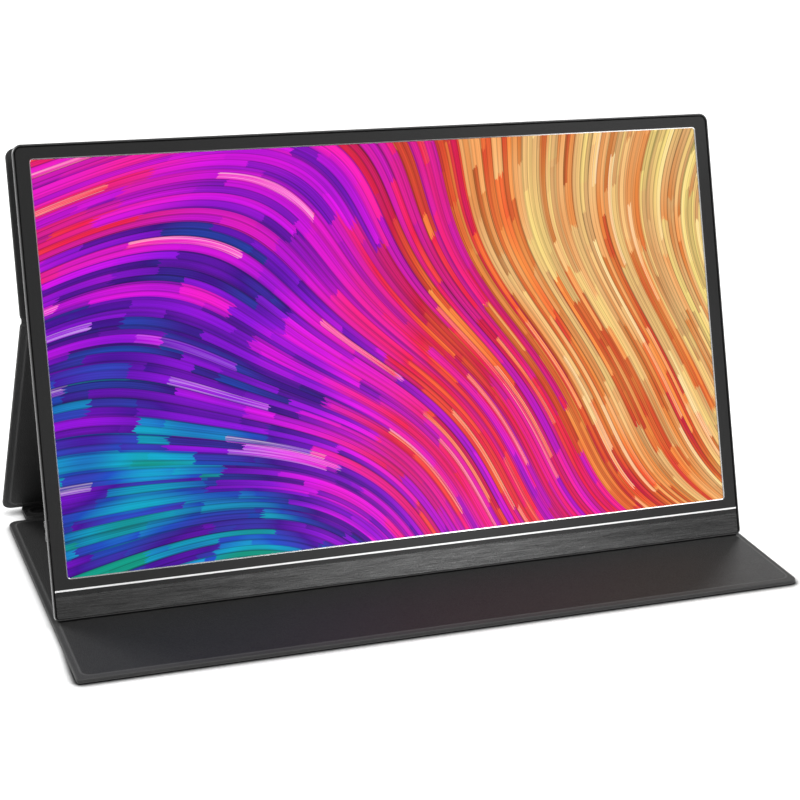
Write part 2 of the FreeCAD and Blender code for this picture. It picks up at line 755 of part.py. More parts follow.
def driver_parts():
    """Panel driver board on its shelf, its films to the glass and its ribbon."""
    named("driver_board", block("driver_board", display_frame, driver_outline, driver_level,
                                driver_face))
    lap = driver_outline.high - dim.flex_lap
    spread = dim.driver_length / film_count
    first = (spread - dim.driver_length) / 2
    films = []
    for count in range(film_count):
        middle = first + spread * count
        film = Outline(middle - dim.flex_width / 2, middle + dim.flex_width / 2, lap,
                       glass_outline.low, [zero] * 4)
        films.append(block("Film", display_frame, film, driver_face,
                           driver_face + dim.flex_thickness))
    group("source_flexes", films)
    start = board_outline.left + dim.boss_inset * 2
    body = new_body("panel_ribbon", display_frame)
    low = driver_outline.high - dim.flex_lap
    down = Outline(start, start + dim.ribbon_width, low, low + dim.flex_thickness, [zero] * 4)
    pad(body, [down], board_face, driver_level)
    along = Outline(start, start + dim.ribbon_width, low,
                    board_outline.low + dim.ribbon_lap, [zero] * 4)
    pad(body, [along], board_face, board_face + dim.flex_thickness)


def main_board():
    body = plate("main_board", display_frame, board_outline, board_level, board_face)
    sketch = new_sketch(body, "XY_Plane", board_face)
    for x, y in board_screw_places():
        draw_circle(sketch, x, y, dim.screw_radius + dim.screw_fit)
    finish(body, "Pocket", sketch, dim.board_thickness)
    x = (board_outline.left + board_outline.right) / 2
    y = (board_outline.low + board_outline.high) / 2
    video = around(x, y, dim.chip_side, dim.chip_side)
    step = dim.chip_side + dim.shield_margin * 2
    memory = around(x - step, y, dim.memory_width, dim.memory_length)
    coils = [around(x + step, y + dim.coil_spread * side, dim.coil_side, dim.coil_side)
             for side in (-1, 1)]
    chips = [block("Chip", display_frame, outline, board_face, board_face + dim.chip_height)
             for outline in (video, memory, *coils)]
    group("board_chips", chips)
    can = plate("board_shield", display_frame, video.inset(-dim.shield_margin), board_face,
                board_face + dim.shield_height)
    room = video.inset(-dim.shield_margin + dim.shield_wall)
    sketch = new_sketch(can, "XY_Plane", board_face)
    draw_outline(sketch, room)
    finish(can, "Pocket", sketch, dim.shield_height - dim.shield_wall, True)
    screws = []
    for x, y in board_screw_places():
        shank = rod("Shank", display_frame, x, y, board_face - dim.screw_length, board_face,
                    dim.screw_radius)
        head = rod("Head", display_frame, x, y, board_face, board_face + dim.screw_head_height,
                   dim.screw_head_radius)
        screws.append(fused([shank, head]))
    group("board_screws", screws)


def socket_mouth():
    """How far out from the middle plane the socket mouths lie."""
    return half_width - wall_inset(socket_level) - dim.socket_recess


def usb_socket(label, place):
    """Rounded shell with its tongue, butted on the main board's edge."""
    mouth = socket_mouth()
    body = new_body(label, display_frame)
    shell = usb_outline(place)
    pad(body, [shell], board_outline.right, mouth, "YZ_Plane")
    pocket(body, [shell.inset(dim.usb_wall)], mouth - dim.usb_depth, mouth, "YZ_Plane")
    tongue = around(place, socket_level, dim.tongue_width, dim.tongue_height)
    root = mouth - dim.usb_depth
    pad(body, [tongue], root, root + dim.tongue_length, "YZ_Plane")


def hdmi_socket():
    mouth = socket_mouth()
    body = new_body("mini_hdmi_socket", display_frame)
    shell = hdmi_outline()
    pad(body, [shell], board_outline.right, mouth, "YZ_Plane")
    pocket(body, [shell.inset(dim.usb_wall)], mouth - dim.usb_depth, mouth, "YZ_Plane")
    tongue = around(dim.hdmi_place, socket_level, dim.hdmi_tongue, dim.tongue_height)
    root = mouth - dim.usb_depth
    pad(body, [tongue], root, root + dim.tongue_length, "YZ_Plane")


def audio_jack():
    """Headphone socket: a body behind the wall, its round nose through it, and its bore."""
    mouth = socket_mouth()
    body = new_body("audio_jack", display_frame)
    case = around(jack_place, socket_level, dim.jack_width, dim.jack_height)
    pad(body, [case], inner_side - dim.jack_length, inner_side, "YZ_Plane")
    nose = new_sketch(body, "YZ_Plane", inner_side)
    draw_circle(nose, jack_place, socket_level, dim.jack_nose)
    finish(body, "Pad", nose, mouth - inner_side)
    bore = new_sketch(body, "YZ_Plane", mouth)
    draw_circle(bore, jack_place, socket_level, dim.jack_bore)
    finish(body, "Pocket", bore, dim.jack_depth)


def power_button():
    """Rounded key with a flange inside the wall and a stem to its switch."""
    outer = half_width - wall_inset(socket_level)
    body = new_body("power_button", display_frame)
    flange_face = inner_side - dim.button_fit
    flange = button_outline(dim.button_flange)
    pad(body, [flange], flange_face - dim.button_flange, flange_face, "YZ_Plane")
    pad(body, [button_outline()], flange_face, outer, "YZ_Plane")
    switch_face = board_outline.right
    stem = around(dim.button_place, socket_level, dim.switch_height, dim.switch_height)
    pad(body, [stem], switch_face + dim.button_travel + dim.button_fit,
        flange_face - dim.button_flange, "YZ_Plane")
    switch = Outline(board_outline.right - dim.switch_depth, board_outline.right,
                     dim.button_place - dim.switch_length / 2,
                     dim.button_place + dim.switch_length / 2, [zero] * 4)
    named("power_switch", block("power_switch", display_frame, switch, board_face,
                                board_face + dim.switch_height))


def rocker_parts():
    """Menu rocker on its barrel, with the bracket, switches and key board behind it."""
    outer = -(half_width + dim.rocker_proud)
    inner = outer + dim.rocker_depth
    barrel_x = inner - dim.rocker_barrel + dim.rocker_gap * 2
    bar = rocker_outline()
    body = new_body("menu_rocker", display_frame)
    pad(body, [bar], outer, inner, "YZ_Plane")
    sketch = new_sketch(body, "XY_Plane", bar.low)
    draw_circle(sketch, barrel_x, dim.rocker_place, dim.rocker_barrel)
    finish(body, "Pad", sketch, dim.rocker_height)
    board_x = glass_outline.left - dim.key_fit - dim.key_board_thickness
    bracket = Outline(inner + dim.rocker_bracket_gap, board_x,
                      dim.rocker_place - dim.rocker_bracket_length / 2,
                      dim.rocker_place + dim.rocker_bracket_length / 2, [zero] * 4)
    holder = plate("rocker_bracket", display_frame, bracket, bar.low, bar.high)
    sketch = new_sketch(holder, "XY_Plane", bar.high)
    draw_circle(sketch, barrel_x, dim.rocker_place, dim.rocker_barrel + dim.rocker_running)
    finish(holder, "Pocket", sketch, dim.rocker_height)
    switches = []
    for side in (-1, 1):
        middle = dim.rocker_place + (dim.rocker_length - dim.key_switch_length) / 2 * side
        outline = Outline(inner + dim.rocker_gap, board_x, middle - dim.key_switch_length / 2,
                          middle + dim.key_switch_length / 2, [zero] * 4)
        switches.append(block("Switch", display_frame, outline, bar.low, bar.high))
    group("rocker_switches", switches)
    key_board = Outline(board_x, board_x + dim.key_board_thickness,
                        dim.rocker_place - dim.key_board_length / 2,
                        dim.rocker_place + dim.key_board_length / 2, [zero] * 4)
    named("key_board", block("key_board", display_frame, key_board, bar.low, bar.high))


def flat_lead(label, legs, low, thickness):
    """A flat flexible lead made of straight legs that lie in one level."""
    body = new_body(label, display_frame)
    for leg in legs:
        pad(body, [leg], low, low + thickness)
    return body


def key_lead():
    """Flexible lead from the key board down beside the wall and across to the main board."""
    x = glass_outline.left - dim.key_fit
    foot = dim.key_fit - inner_side
    low = dim.rocker_place + dim.rocker_length / 4
    high = low + dim.key_flex_width
    end = board_outline.left + dim.boss_inset * 3
    across = Outline(foot, end, low, high, [zero] * 4)
    up = Outline(end - dim.key_flex_width, end, high - dim.key_flex_width,
                 board_outline.low + dim.ribbon_lap, [zero] * 4)
    body = flat_lead("key_flex", [across, up], floor_level, dim.flex_thickness)
    bottom = Outline(foot, foot + dim.key_fit, low, high, [zero] * 4)
    top = Outline(x, x + dim.key_fit, low, high, [zero] * 4)
    loft(body, "AdditiveLoft", bottom, floor_level, top, rail_level)
    pad(body, [top], rail_level, rocker_outline().high)


def speakers():
    """A closed speaker box in each lower corner, with its flat lead to the board."""
    under_board = board_outline.low + dim.ribbon_lap
    for side, word in ((-1, "left"), (1, "right")):
        box = speaker_outline(side)
        plate(f"speaker_{word}", display_frame, box, floor_level,
              floor_level + dim.speaker_depth)
        middle = (box.left + box.right) / 2
        half = dim.lead_width / 2
        if side > 0:
            legs = [Outline(middle - half, middle + half, box.high, under_board, [zero] * 4)]
        else:
            x = board_outline.left + dim.ribbon_width * 2
            y = (box.low + box.high) / 2
            legs = [Outline(box.right, x, y - half, y + half, [zero] * 4),
                    Outline(x - dim.lead_width, x, y - half, under_board, [zero] * 4)]
        flat_lead(f"speaker_lead_{word}", legs, floor_level, dim.lead_thickness)


def housing_magnets():
    rows = [body_height - dim.magnet_top, body_height - dim.magnet_top - dim.magnet_drop]
    places = [(zero + dim.magnet_spread * side, y) for side in (-1, 1) for y in rows]
    bars = [block("Magnet", display_frame, around(x, y, dim.magnet_length, dim.magnet_width),
                  floor_level, floor_level + dim.magnet_thickness) for x, y in places]
    group("housing_magnets", bars)
    y = dim.chin_magnet_low + dim.chin_magnet_width / 2
    bars = [block("Magnet", display_frame,
                  around(zero + dim.magnet_spread * side, y, dim.magnet_length,
                         dim.chin_magnet_width),
                  floor_level, floor_level + dim.magnet_thickness) for side in (-1, 0, 1)]
    group("chin_magnets", bars)


# Cover: each panel is a leather skin with a thick edge, a board in its pocket and a lining.
# A panel's frame has X across, Y along the panel from the fold below it, Z to its inner face.

board_top = dim.skin_thickness + dim.board_sheet


def cover_panel(word, frame, outline, band, magnets):
    """The skin, board, lining and magnets of one panel."""
    skin = plate(f"{word}_skin", frame, outline, zero, dim.hem)
    edges = edges_at(skin.Tip, zero) + edges_at(skin.Tip, dim.hem)
    dress(skin, "Fillet", edges, dim.hem_round)
    room = outline.inset(band)
    room.radii = [larger(radius, dim.pocket_corner) for radius in room.radii]
    pocket(skin, [room], dim.skin_thickness, dim.hem)
    sheet_outline = room.inset(dim.board_fit)
    board = plate(f"{word}_board", frame, sheet_outline, dim.skin_thickness, board_top)
    if magnets:
        slots = [magnet.inset(-dim.board_fit) for magnet in magnets]
        pocket(board, slots, dim.skin_thickness, board_top)
        bars = [block("Magnet", frame, magnet, dim.skin_thickness,
                      dim.skin_thickness + dim.magnet_thickness) for magnet in magnets]
        group(f"{word}_magnets", bars)
    lining = plate(f"{word}_lining", frame, sheet_outline, board_top, dim.plateau)
    dress(lining, "Fillet", edges_at(lining.Tip, dim.plateau), dim.plateau_round)


def fold(label, frame, half):
    """The rolled leather of a fold: a round bead on the fold's axis."""
    bead = doc.addObject("Part::Cylinder", label)
    bead.setExpression("Radius", fold_radius.formula)
    bead.setExpression("Height", (half * 2).formula)
    along_x = Placement(Vector(-half.value, 0, fold_radius.value),
                        Rotation(Vector(0, 1, 0), 90))
    bead.Placement = frame.multiply(along_x)
    named(label, bead)


def magnet_row(y, width, sides):
    return [around(zero + dim.magnet_spread * side, y, dim.magnet_length, width)
            for side in sides]


def cover():
    back_high = body_height - fold_rise
    back_outline = Outline(-cover_half, cover_half, dim.fold_gap, back_high,
                           [dim.fold_corner, dim.fold_corner, dim.cover_corner, dim.cover_corner])
    upper = magnet_row(back_high - dim.magnet_top, dim.magnet_width, (-1, 1))
    lower = magnet_row(back_high - dim.magnet_top - dim.magnet_drop, dim.magnet_width, (-1, 1))
    cover_panel("back_panel", back_frame, back_outline, dim.hem_width, upper + lower)
    pad_outline = back_outline.inset(dim.pad_inset)
    plate("back_pad", back_frame, pad_outline, dim.plateau, dim.plateau + dim.pad_thickness)

    leg_outline = Outline(-cover_half, cover_half, dim.fold_gap, dim.leg_pitch - dim.fold_gap,
                          [dim.foot_corner, dim.foot_corner, dim.fold_corner, dim.fold_corner])
    cover_panel("leg", leg_frame, leg_outline, dim.hem_width, [])
    spine_outline = even(spine_half, dim.fold_gap, dim.spine_pitch - dim.fold_gap,
                         dim.spine_corner)
    cover_panel("spine", spine_frame, spine_outline, dim.spine_hem, [])

    base_outline = Outline(-cover_half, cover_half, -(dim.fold_gap + dim.base_depth),
                           -dim.fold_gap, [dim.front_corner, dim.front_corner,
                                           dim.foot_corner, dim.foot_corner])
    under_chin = chin_reach + (dim.rim_depth + dim.body_depth) / 2
    base_magnets = magnet_row(under_chin, dim.chin_magnet_width, (-1, 0, 1))
    cover_panel("base", base_frame, base_outline, dim.hem_width, base_magnets)

    fold("back_fold", back_frame, cover_half - dim.fold_corner)
    fold("foot_fold", leg_frame, spine_half - dim.spine_corner)
    fold("base_fold", base_frame, spine_half - dim.spine_corner)


def check_all():
    """Stop if any object failed or any named piece isn't a sound shape."""
    for thing in doc.Objects:
        if "Invalid" in thing.State or "Error" in thing.State:
            raise RuntimeError(f"{thing.Name} ({thing.Label}) failed: {thing.State}")
    for thing in nodes:
        if thing.Shape.isNull() or not thing.Shape.isValid():
            raise RuntimeError(f"{thing.Label} has no sound shape")


def write_all():
    os.makedirs("parts", exist_ok=True)
    for thing in nodes:
        thing.Shape.exportStep(f"parts/{thing.Label}.step")
    print(f"{len(nodes)} pieces written")


rear_housing()
front_bezel()
screen_trim()
chin_plate()
display_module()
driver_parts()
main_board()
usb_socket("usb_c_data_socket", dim.data_place)
usb_socket("usb_c_power_socket", dim.power_place)
hdmi_socket()
audio_jack()
power_button()
rocker_parts()
key_lead()
speakers()
housing_magnets()
cover()
doc.recompute()
check_all()
write_all()
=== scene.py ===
# %% [markdown]
# # A portable monitor in its folding cover
# The real object is a thin display that leans on a cover of grained leather-like sheet.
# The cover folds into a base panel, a narrow spine and a leg, and its top part is stuck to
# the display's back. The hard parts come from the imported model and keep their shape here.
# The soft cover is built again in finer form, and every surface gets its own finish.

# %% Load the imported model
import json
import math

import bpy
from mathutils import Matrix, Vector


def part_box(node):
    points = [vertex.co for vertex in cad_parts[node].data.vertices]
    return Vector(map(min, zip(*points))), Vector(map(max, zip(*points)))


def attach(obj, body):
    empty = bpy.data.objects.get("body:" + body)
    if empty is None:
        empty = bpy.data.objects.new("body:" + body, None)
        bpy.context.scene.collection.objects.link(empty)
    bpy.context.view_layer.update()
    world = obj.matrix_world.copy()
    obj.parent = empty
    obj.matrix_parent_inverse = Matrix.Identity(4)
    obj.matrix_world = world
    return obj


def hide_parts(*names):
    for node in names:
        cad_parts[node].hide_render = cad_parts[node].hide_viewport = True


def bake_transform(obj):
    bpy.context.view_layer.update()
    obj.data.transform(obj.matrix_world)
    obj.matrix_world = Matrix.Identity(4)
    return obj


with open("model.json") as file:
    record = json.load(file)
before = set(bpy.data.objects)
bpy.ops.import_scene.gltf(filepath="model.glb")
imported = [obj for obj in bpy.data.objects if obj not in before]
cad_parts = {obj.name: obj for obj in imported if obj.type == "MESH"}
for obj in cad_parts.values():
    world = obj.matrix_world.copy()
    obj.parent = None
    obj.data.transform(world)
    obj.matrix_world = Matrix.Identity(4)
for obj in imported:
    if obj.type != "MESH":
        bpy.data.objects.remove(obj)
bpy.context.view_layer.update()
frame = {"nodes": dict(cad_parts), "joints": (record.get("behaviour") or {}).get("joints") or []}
nodes = frame["nodes"]
MM = 0.001

# %% [markdown]
# The photograph was taken from the left and above, about a metre away. A camera is placed to
# match: a heading about the upright axis, a tilt down, and a slight roll. Turning the
# matrices in that order keeps the three angles independent, which Euler sliders don't.

# %% Camera
camera_data = bpy.data.cameras.new("camera")
camera_data.lens = 87.39
camera_data.sensor_width = 36.0
camera = bpy.data.objects.new("camera", camera_data)
heading, tilt, roll = (math.radians(a) for a in (-21.158, 69.529, 2.205))
camera.matrix_world = (Matrix.Translation((-0.32458, -0.84515, 0.41798))
                       @ Matrix.Rotation(heading, 4, "Z")
                       @ Matrix.Rotation(tilt, 4, "X")
                       @ Matrix.Rotation(roll, 4, "Z"))
bpy.context.scene.collection.objects.link(camera)
bpy.context.scene.camera = camera
bpy.context.scene.view_settings.view_transform = "Standard"
print("camera at", [round(v, 3) for v in camera.matrix_world.translation])

# %% [markdown]
# Shader maths reads best as plain expressions. This small class wraps a socket, so that
# adding, multiplying or comparing two of them adds the Math nodes by itself. Without it, each
# sum would take a node, its setting and two links to write.

# %% Values in expressions
class Value:
    """A socket that takes part in Python expressions."""

    def __init__(self, finish, socket):
        self.finish = finish
        self.socket = socket

    def math(self, operation, *others):
        inputs = dict(enumerate((self, *others)))
        return self.finish.node("ShaderNodeMath", {"operation": operation}, inputs)

    def __add__(self, other):
        return self.math("ADD", other)

    def __sub__(self, other):
        return self.math("SUBTRACT", other)

    def __rsub__(self, other):
        return (self * -1) + other

    def __mul__(self, other):
        return self.math("MULTIPLY", other)

    def __truediv__(self, other):
        return self.math("DIVIDE", other)

    def __pow__(self, other):
        return self.math("POWER", other)

    def __abs__(self):
        return self.math("ABSOLUTE")

    def __gt__(self, other):
        return self.math("GREATER_THAN", other)

    def __lt__(self, other):
        return self.math("LESS_THAN", other)

    __radd__ = __add__
    __rmul__ = __mul__

    def sine(self):
        return self.math("SINE")

    def floor(self):
        return self.math("FLOOR")

    def between(self, low, high):
        """1 where the value lies between the two, else 0."""
        return (self > low) * (self < high)

    def rise(self, start, end, low=0.0, high=1.0):
        """A smooth step from low at start to high at end."""
        settings = {"interpolation_type": "SMOOTHSTEP", "clamp": True}
        return self.finish.node("ShaderNodeMapRange", settings,
                                {0: self, 1: start, 2: end, 3: low, 4: high})

    def ramp(self, stops):
        """Colours along the value, as a list of (place, colour)."""
        return self.finish.node("ShaderNodeValToRGB", {"stops": stops}, {0: self})


print("values can be added, multiplied, compared and smoothed")

# %% [markdown]
# A finish is one material and the nodes that make it. Its one method makes any node from its
# type, its settings and its inputs, where an input is a number, a colour or another value. The
# methods after it name the nodes that come back again and again.

# %% Finishes
class Finish:
    """One material and the nodes that make it."""

    def __init__(self, name):
        self.material = bpy.data.materials.new(name)
        self.material.use_nodes = True
        self.tree = self.material.node_tree
        self.tree.nodes.clear()
        self.place = self.node("ShaderNodeTexCoord", {}, {}, "Object")

    def node(self, kind, settings, inputs, output=0):
        made = self.tree.nodes.new(kind)
        for key, value in settings.items():
            if key == "stops":
                fill_ramp(made.color_ramp, value)
            else:
                setattr(made, key, value)
        for key, value in inputs.items():
            if isinstance(value, Value):
                self.tree.links.new(value.socket, made.inputs[key])
            else:
                made.inputs[key].default_value = value
        return Value(self, made.outputs[output]) if made.outputs else None

    def axes(self, place=None):
        """The three coordinates of a place."""
        return [self.node("ShaderNodeSeparateXYZ", {}, {0: place or self.place}, i)
                for i in range(3)]

    def point(self, x, y, z=0.0):
        return self.node("ShaderNodeCombineXYZ", {}, {0: x, 1: y, 2: z})

    def noise(self, place, scale, detail=2.0, roughness=0.5):
        return self.node("ShaderNodeTexNoise", {},
                         {"Vector": place, "Scale": scale, "Detail": detail,
                          "Roughness": roughness})

    def chance(self, x, y):
        """A random number for each pair of whole numbers."""
        settings = {"noise_dimensions": "2D"}
        return self.node("ShaderNodeTexWhiteNoise", settings, {"Vector": self.point(x, y)})

    def mix(self, factor, first, second):
        return self.node("ShaderNodeMix", {"data_type": "RGBA"},
                         {0: factor, 6: first, 7: second}, 2)

    def bump(self, height, depth, strength=1.0, normal=None):
        """A bumped normal from a height of 0 to 1 that stands for a depth in metres."""
        inputs = {"Height": height, "Distance": depth, "Strength": strength}
        if normal:
            inputs["Normal"] = normal
        return self.node("ShaderNodeBump", {}, inputs)

    def surface(self, **inputs):
        """Ends the finish in a shader whose sockets are named with underscores."""
        named = {key.replace("_", " "): value for key, value in inputs.items()}
        shader = self.node("ShaderNodeBsdfPrincipled", {}, named)
        self.node("ShaderNodeOutputMaterial", {}, {"Surface": shader})
        return self.material


def fill_ramp(ramp, stops):
    """Sets a ramp's stops; a new ramp has two already."""
    while len(ramp.elements) < len(stops):
        ramp.elements.new(1.0)
    for element, (place, colour) in zip(ramp.elements, stops):
        element.position = place
        element.color = colour


def grey(level):
    """An opaque grey, in linear light."""
    return (level, level, level, 1.0)


print("ready to make finishes")

# %% [markdown]
# The object stands on white paper without an edge in view. Paper that is only lit never
# renders quite white, and stronger lamps would spoil the object's own tones. So the floor
# glows, but only for the camera and for reflections, and it still keeps the soft shadow. Light
# hardly reaches the floor a few millimetres from the object, and a painted shadow makes that
# dark seam plain: a measure of how open each spot is, raised to a high power for the camera,
# darkens the paper there. This painted shadow is stronger before the base panel's front edge,
# where most of the lamps' light falls.

# %% Floor
def seen_directly(finish):
    """1 for camera, glossy and transmission rays, else 0."""
    rays = [finish.node("ShaderNodeLightPath", {}, {}, word)
            for word in ("Is Camera Ray", "Is Glossy Ray", "Is Transmission Ray")]
    return rays[0].math("MAXIMUM", rays[1]).math("MAXIMUM", rays[2])


paper = Finish("paper_floor")
painted_shadow_reach = 6.5 * MM
painted_shadow_front, painted_shadow_back = 6.5, 1.7
front_line, back_line = -0.1, -0.06
camera_loss = 0.55
glow_level = 0.8
fibre = paper.noise(paper.place, 90.0, 3.0)
open_sky = paper.node("ShaderNodeAmbientOcclusion", {"samples": 8}, {"Distance": painted_shadow_reach}, 1)
for_camera = paper.node("ShaderNodeLightPath", {}, {}, "Is Camera Ray")
toward_back = paper.axes()[1]
painted_shadow_power = toward_back.rise(front_line, back_line, painted_shadow_front, painted_shadow_back)
# painted shadow: openness raised to a power, for camera rays only, darkens the paper near the
# object
painted_shadow = open_sky ** (for_camera * painted_shadow_power)
sheet_tone = fibre.ramp([(0.0, grey(0.94)), (1.0, grey(0.96))])
paper_colour = paper.mix(painted_shadow * (1 - for_camera * camera_loss), grey(0.0), sheet_tone)
sheet = paper.node("ShaderNodeBsdfDiffuse", {}, {"Color": paper_colour})
# the glow is dimmed by the same painted shadow
glow = paper.node("ShaderNodeEmission", {},
                  {"Color": grey(1.0), "Strength": seen_directly(paper) * painted_shadow * glow_level})
both = paper.node("ShaderNodeAddShader", {}, {0: sheet, 1: glow})
paper.node("ShaderNodeOutputMaterial", {}, {"Surface": both})
floor_mesh = bpy.data.meshes.new("floor")
reach = 6.0
floor_drop = 0.2 * MM
floor_corners = [(-reach, -reach), (reach, -reach), (reach, reach), (-reach, reach)]
floor_mesh.from_pydata([(x, y, -floor_drop) for x, y in floor_corners], [], [(0, 1, 2, 3)])
floor = bpy.data.objects.new("floor", floor_mesh)
floor.data.materials.append(paper.material)
bpy.context.scene.collection.objects.link(floor)
print("floor laid,", 2 * reach, "m wide")

# %% [markdown]
# The light is that of a plain studio: a soft sky that is brighter on the left than on the
# right, one large lamp overhead on the right, one high on the left, and three small ones whose
# reflections make the patch on the chin, the sheen at the base's end and the thin light lines
# along the left edges. Area lamps are chosen because their width makes shadows soft. The
# camera itself sees the sky as white.

# %% Sky and lamps
sky = bpy.data.worlds.new("studio")
sky.use_nodes = True
bpy.context.scene.world = sky
tree = sky.node_tree
background = tree.nodes["Background"]
background.inputs["Color"].default_value = grey(1.0)
direction = tree.nodes.new("ShaderNodeTexCoord")
parts = tree.nodes.new("ShaderNodeSeparateXYZ")
tree.links.new(direction.outputs["Generated"], parts.inputs["Vector"])
side = tree.nodes.new("ShaderNodeMapRange")
for name, value in (("From Min", -1.0), ("From Max", 1.0), ("To Min", 0.85), ("To Max", 0.35)):
    side.inputs[name].default_value = value
tree.links.new(parts.outputs["X"], side.inputs["Value"])
rays = tree.nodes.new("ShaderNodeLightPath")
level = tree.nodes.new("ShaderNodeMapRange")
level.inputs["To Max"].default_value = 1.0
tree.links.new(rays.outputs["Is Camera Ray"], level.inputs["Value"])
tree.links.new(side.outputs["Result"], level.inputs["To Min"])
tree.links.new(level.outputs["Result"], background.inputs["Strength"])


def lamp(name, place, aim, width, height, power):
    """A soft rectangular lamp that looks at a point."""
    data = bpy.data.lights.new(name, "AREA")
    data.shape = "RECTANGLE"
    data.size = width
    data.size_y = height
    data.energy = power
    made = bpy.data.objects.new(name, data)
    made.location = place
    made.rotation_euler = (Vector(aim) - Vector(place)).to_track_quat("-Z", "Y").to_euler()
    bpy.context.scene.collection.objects.link(made)
    return made


lamp("top_lamp", (0.38, -0.15, 0.66), (0.08, -0.05, 0), width=0.6, height=0.5, power=4.8)
lamp("left_lamp", (-1.0, 0.05, 0.8), (-0.1, 0, 0.05), width=0.6, height=0.6, power=3.5)
lamp("edge_lamp", (-0.7, 0.9, 0.9), (-0.15, 0.05, 0), width=0.4, height=0.4, power=11.0)
lamp("chin_lamp", (0.46, -1.18, 0.30), (0.03, 0, 0.05), width=0.14, height=0.3, power=1.2)
lamp("sheen_lamp", (1.05, 1.35, 0.75), (0.12, 0, 0), width=0.5, height=0.5, power=10.0)

# %% [markdown]
# The cover's sheet is embossed with a fine pebble grain. It is made of cells about a
# millimetre wide, raised in the middle, over a slower waviness of the sheet itself. Edges and
# creases that get rubbed go slightly paler and smoother. The same paler colour is also a painted
# highlight on the pressed band, along the board's shoulder and along the top of the round edge.
# The mesh carries that wear and painted highlight as an attribute, because the mesh knows where
# its edges are. A second attribute marks the lining, which is smoother; its darker colour is
# painted shade.

# %% Leather finish
def leather(name, dark, pale):
    """Grained sheet between two greys."""
    finish = Finish(name)
    cells_per_metre = 980.0
    drift_reach = 0.6 * MM
    wave_depth = 0.6 * MM
    grain_depth = 0.09 * MM
    drift = finish.noise(finish.place, 420.0, 2.0)
    bent = finish.node("ShaderNodeVectorMath", {"operation": "MULTIPLY_ADD"},
                       {0: drift, 1: (drift_reach, drift_reach, drift_reach), 2: finish.place})
    cells = finish.node("ShaderNodeTexVoronoi", {"feature": "DISTANCE_TO_EDGE"},
                        {"Vector": bent, "Scale": cells_per_metre})
    pebbles = cells.rise(0.0, 0.28)
    pores = finish.noise(finish.place, 3200.0, 2.0)
    waves = finish.noise(finish.place, 34.0, 2.0)
    mottle = finish.noise(finish.place, 160.0, 4.0, 0.6)
    wear = finish.node("ShaderNodeAttribute", {"attribute_name": "wear"}, {}, "Fac")
    lining = finish.node("ShaderNodeAttribute", {"attribute_name": "lining"}, {}, "Fac")
    tone = mottle * 0.45 + pebbles * 0.35 + waves * 0.2
    plain_colour = finish.mix(tone, grey(dark), grey(pale))
    # painted shade: the lining is drawn darker, three quarters as bright as the rest of the sheet
    lining_shade_colour = finish.mix(tone, grey(dark * 0.75), grey(pale * 0.75))
    # the paler colour is rubbed wear and painted highlight together
    colour = finish.mix(wear * 0.36, finish.mix(lining, plain_colour, lining_shade_colour), grey(0.13))
    sheet_normal = finish.bump(waves, wave_depth, 0.35)
    grain_normal = finish.bump(pebbles * 0.8 + pores * 0.2, grain_depth, 0.55, sheet_normal)
    rough = 0.78 + mottle * 0.1 - pebbles * 0.05 - wear * 0.14 - lining * 0.16
    return finish.surface(Base_Color=colour, Roughness=rough, Normal=grain_normal,
                          Specular_IOR_Level=0.22)


outer_leather = leather("outer_leather", 0.012, 0.026)
print("finish:", outer_leather.name)

# %% [markdown]
# Each panel of the cover is a stiff board wrapped in sheet. Where it lies is measured on the
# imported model: each joint gives the axis of its fold, and the panel gets a frame of its own
# there, with Y along the panel. Its mesh can then be made as if it lay flat on a bench.

# %% Where the panels lie
joints = {joint["name"]: Vector(joint["pos_m"]) for joint in frame["joints"] if "pos_m" in joint}
base_axis = joints["base_fold_hinge"]
foot_axis = joints["foot_fold_hinge"]
back_axis = joints["back_fold_hinge"]
lean = math.radians(20.0)
screen_turn = math.pi / 2 - lean
leg_line = back_axis - foot_axis
leg_turn = math.atan2(leg_line.z, leg_line.y)
half_hem = base_axis.z


def panel_frame(axis, turn):
    """A frame with zero on the panel's outer face under the fold's axis, and Y along the panel."""
    return (Matrix.Translation(axis) @ Matrix.Rotation(turn, 4, "X")
            @ Matrix.Translation((0, 0, -half_hem)))


base_frame = panel_frame(base_axis, 0.0)
leg_frame = panel_frame(foot_axis, leg_turn)
back_frame = panel_frame(back_axis, screen_turn)


def local_box(node, matrix):
    """Lowest and highest corner of a CAD node in a panel's frame."""
    back = matrix.inverted()
    points = [back @ vertex.co for vertex in nodes[node].data.vertices]
    return (Vector(min(p[i] for p in points) for i in range(3)),
            Vector(max(p[i] for p in points) for i in range(3)))


print("leg turned", round(math.degrees(leg_turn), 2), "degrees")

# %% [markdown]
# A plain box would miss what makes a wrapped board look soft, which is all near its edge. So
# a panel is a grid whose lines stand close together there and far apart in the middle, with
# its corners bent round. These helpers place the lines, bend a corner, and tell how far a
# point lies inside a rounded outline.

# %% Grid lines and corners
def lines_between(low, high, near, step):
    """Places of grid lines: the near distances at both ends, then even steps."""
    first = [low + distance for distance in near]
    last = [high - distance for distance in reversed(near)]
    count = max(1, round((last[0] - first[-1]) / step))
    middle = [first[-1] + (last[0] - first[-1]) * i / count for i in range(1, count)]
    return first + middle + last


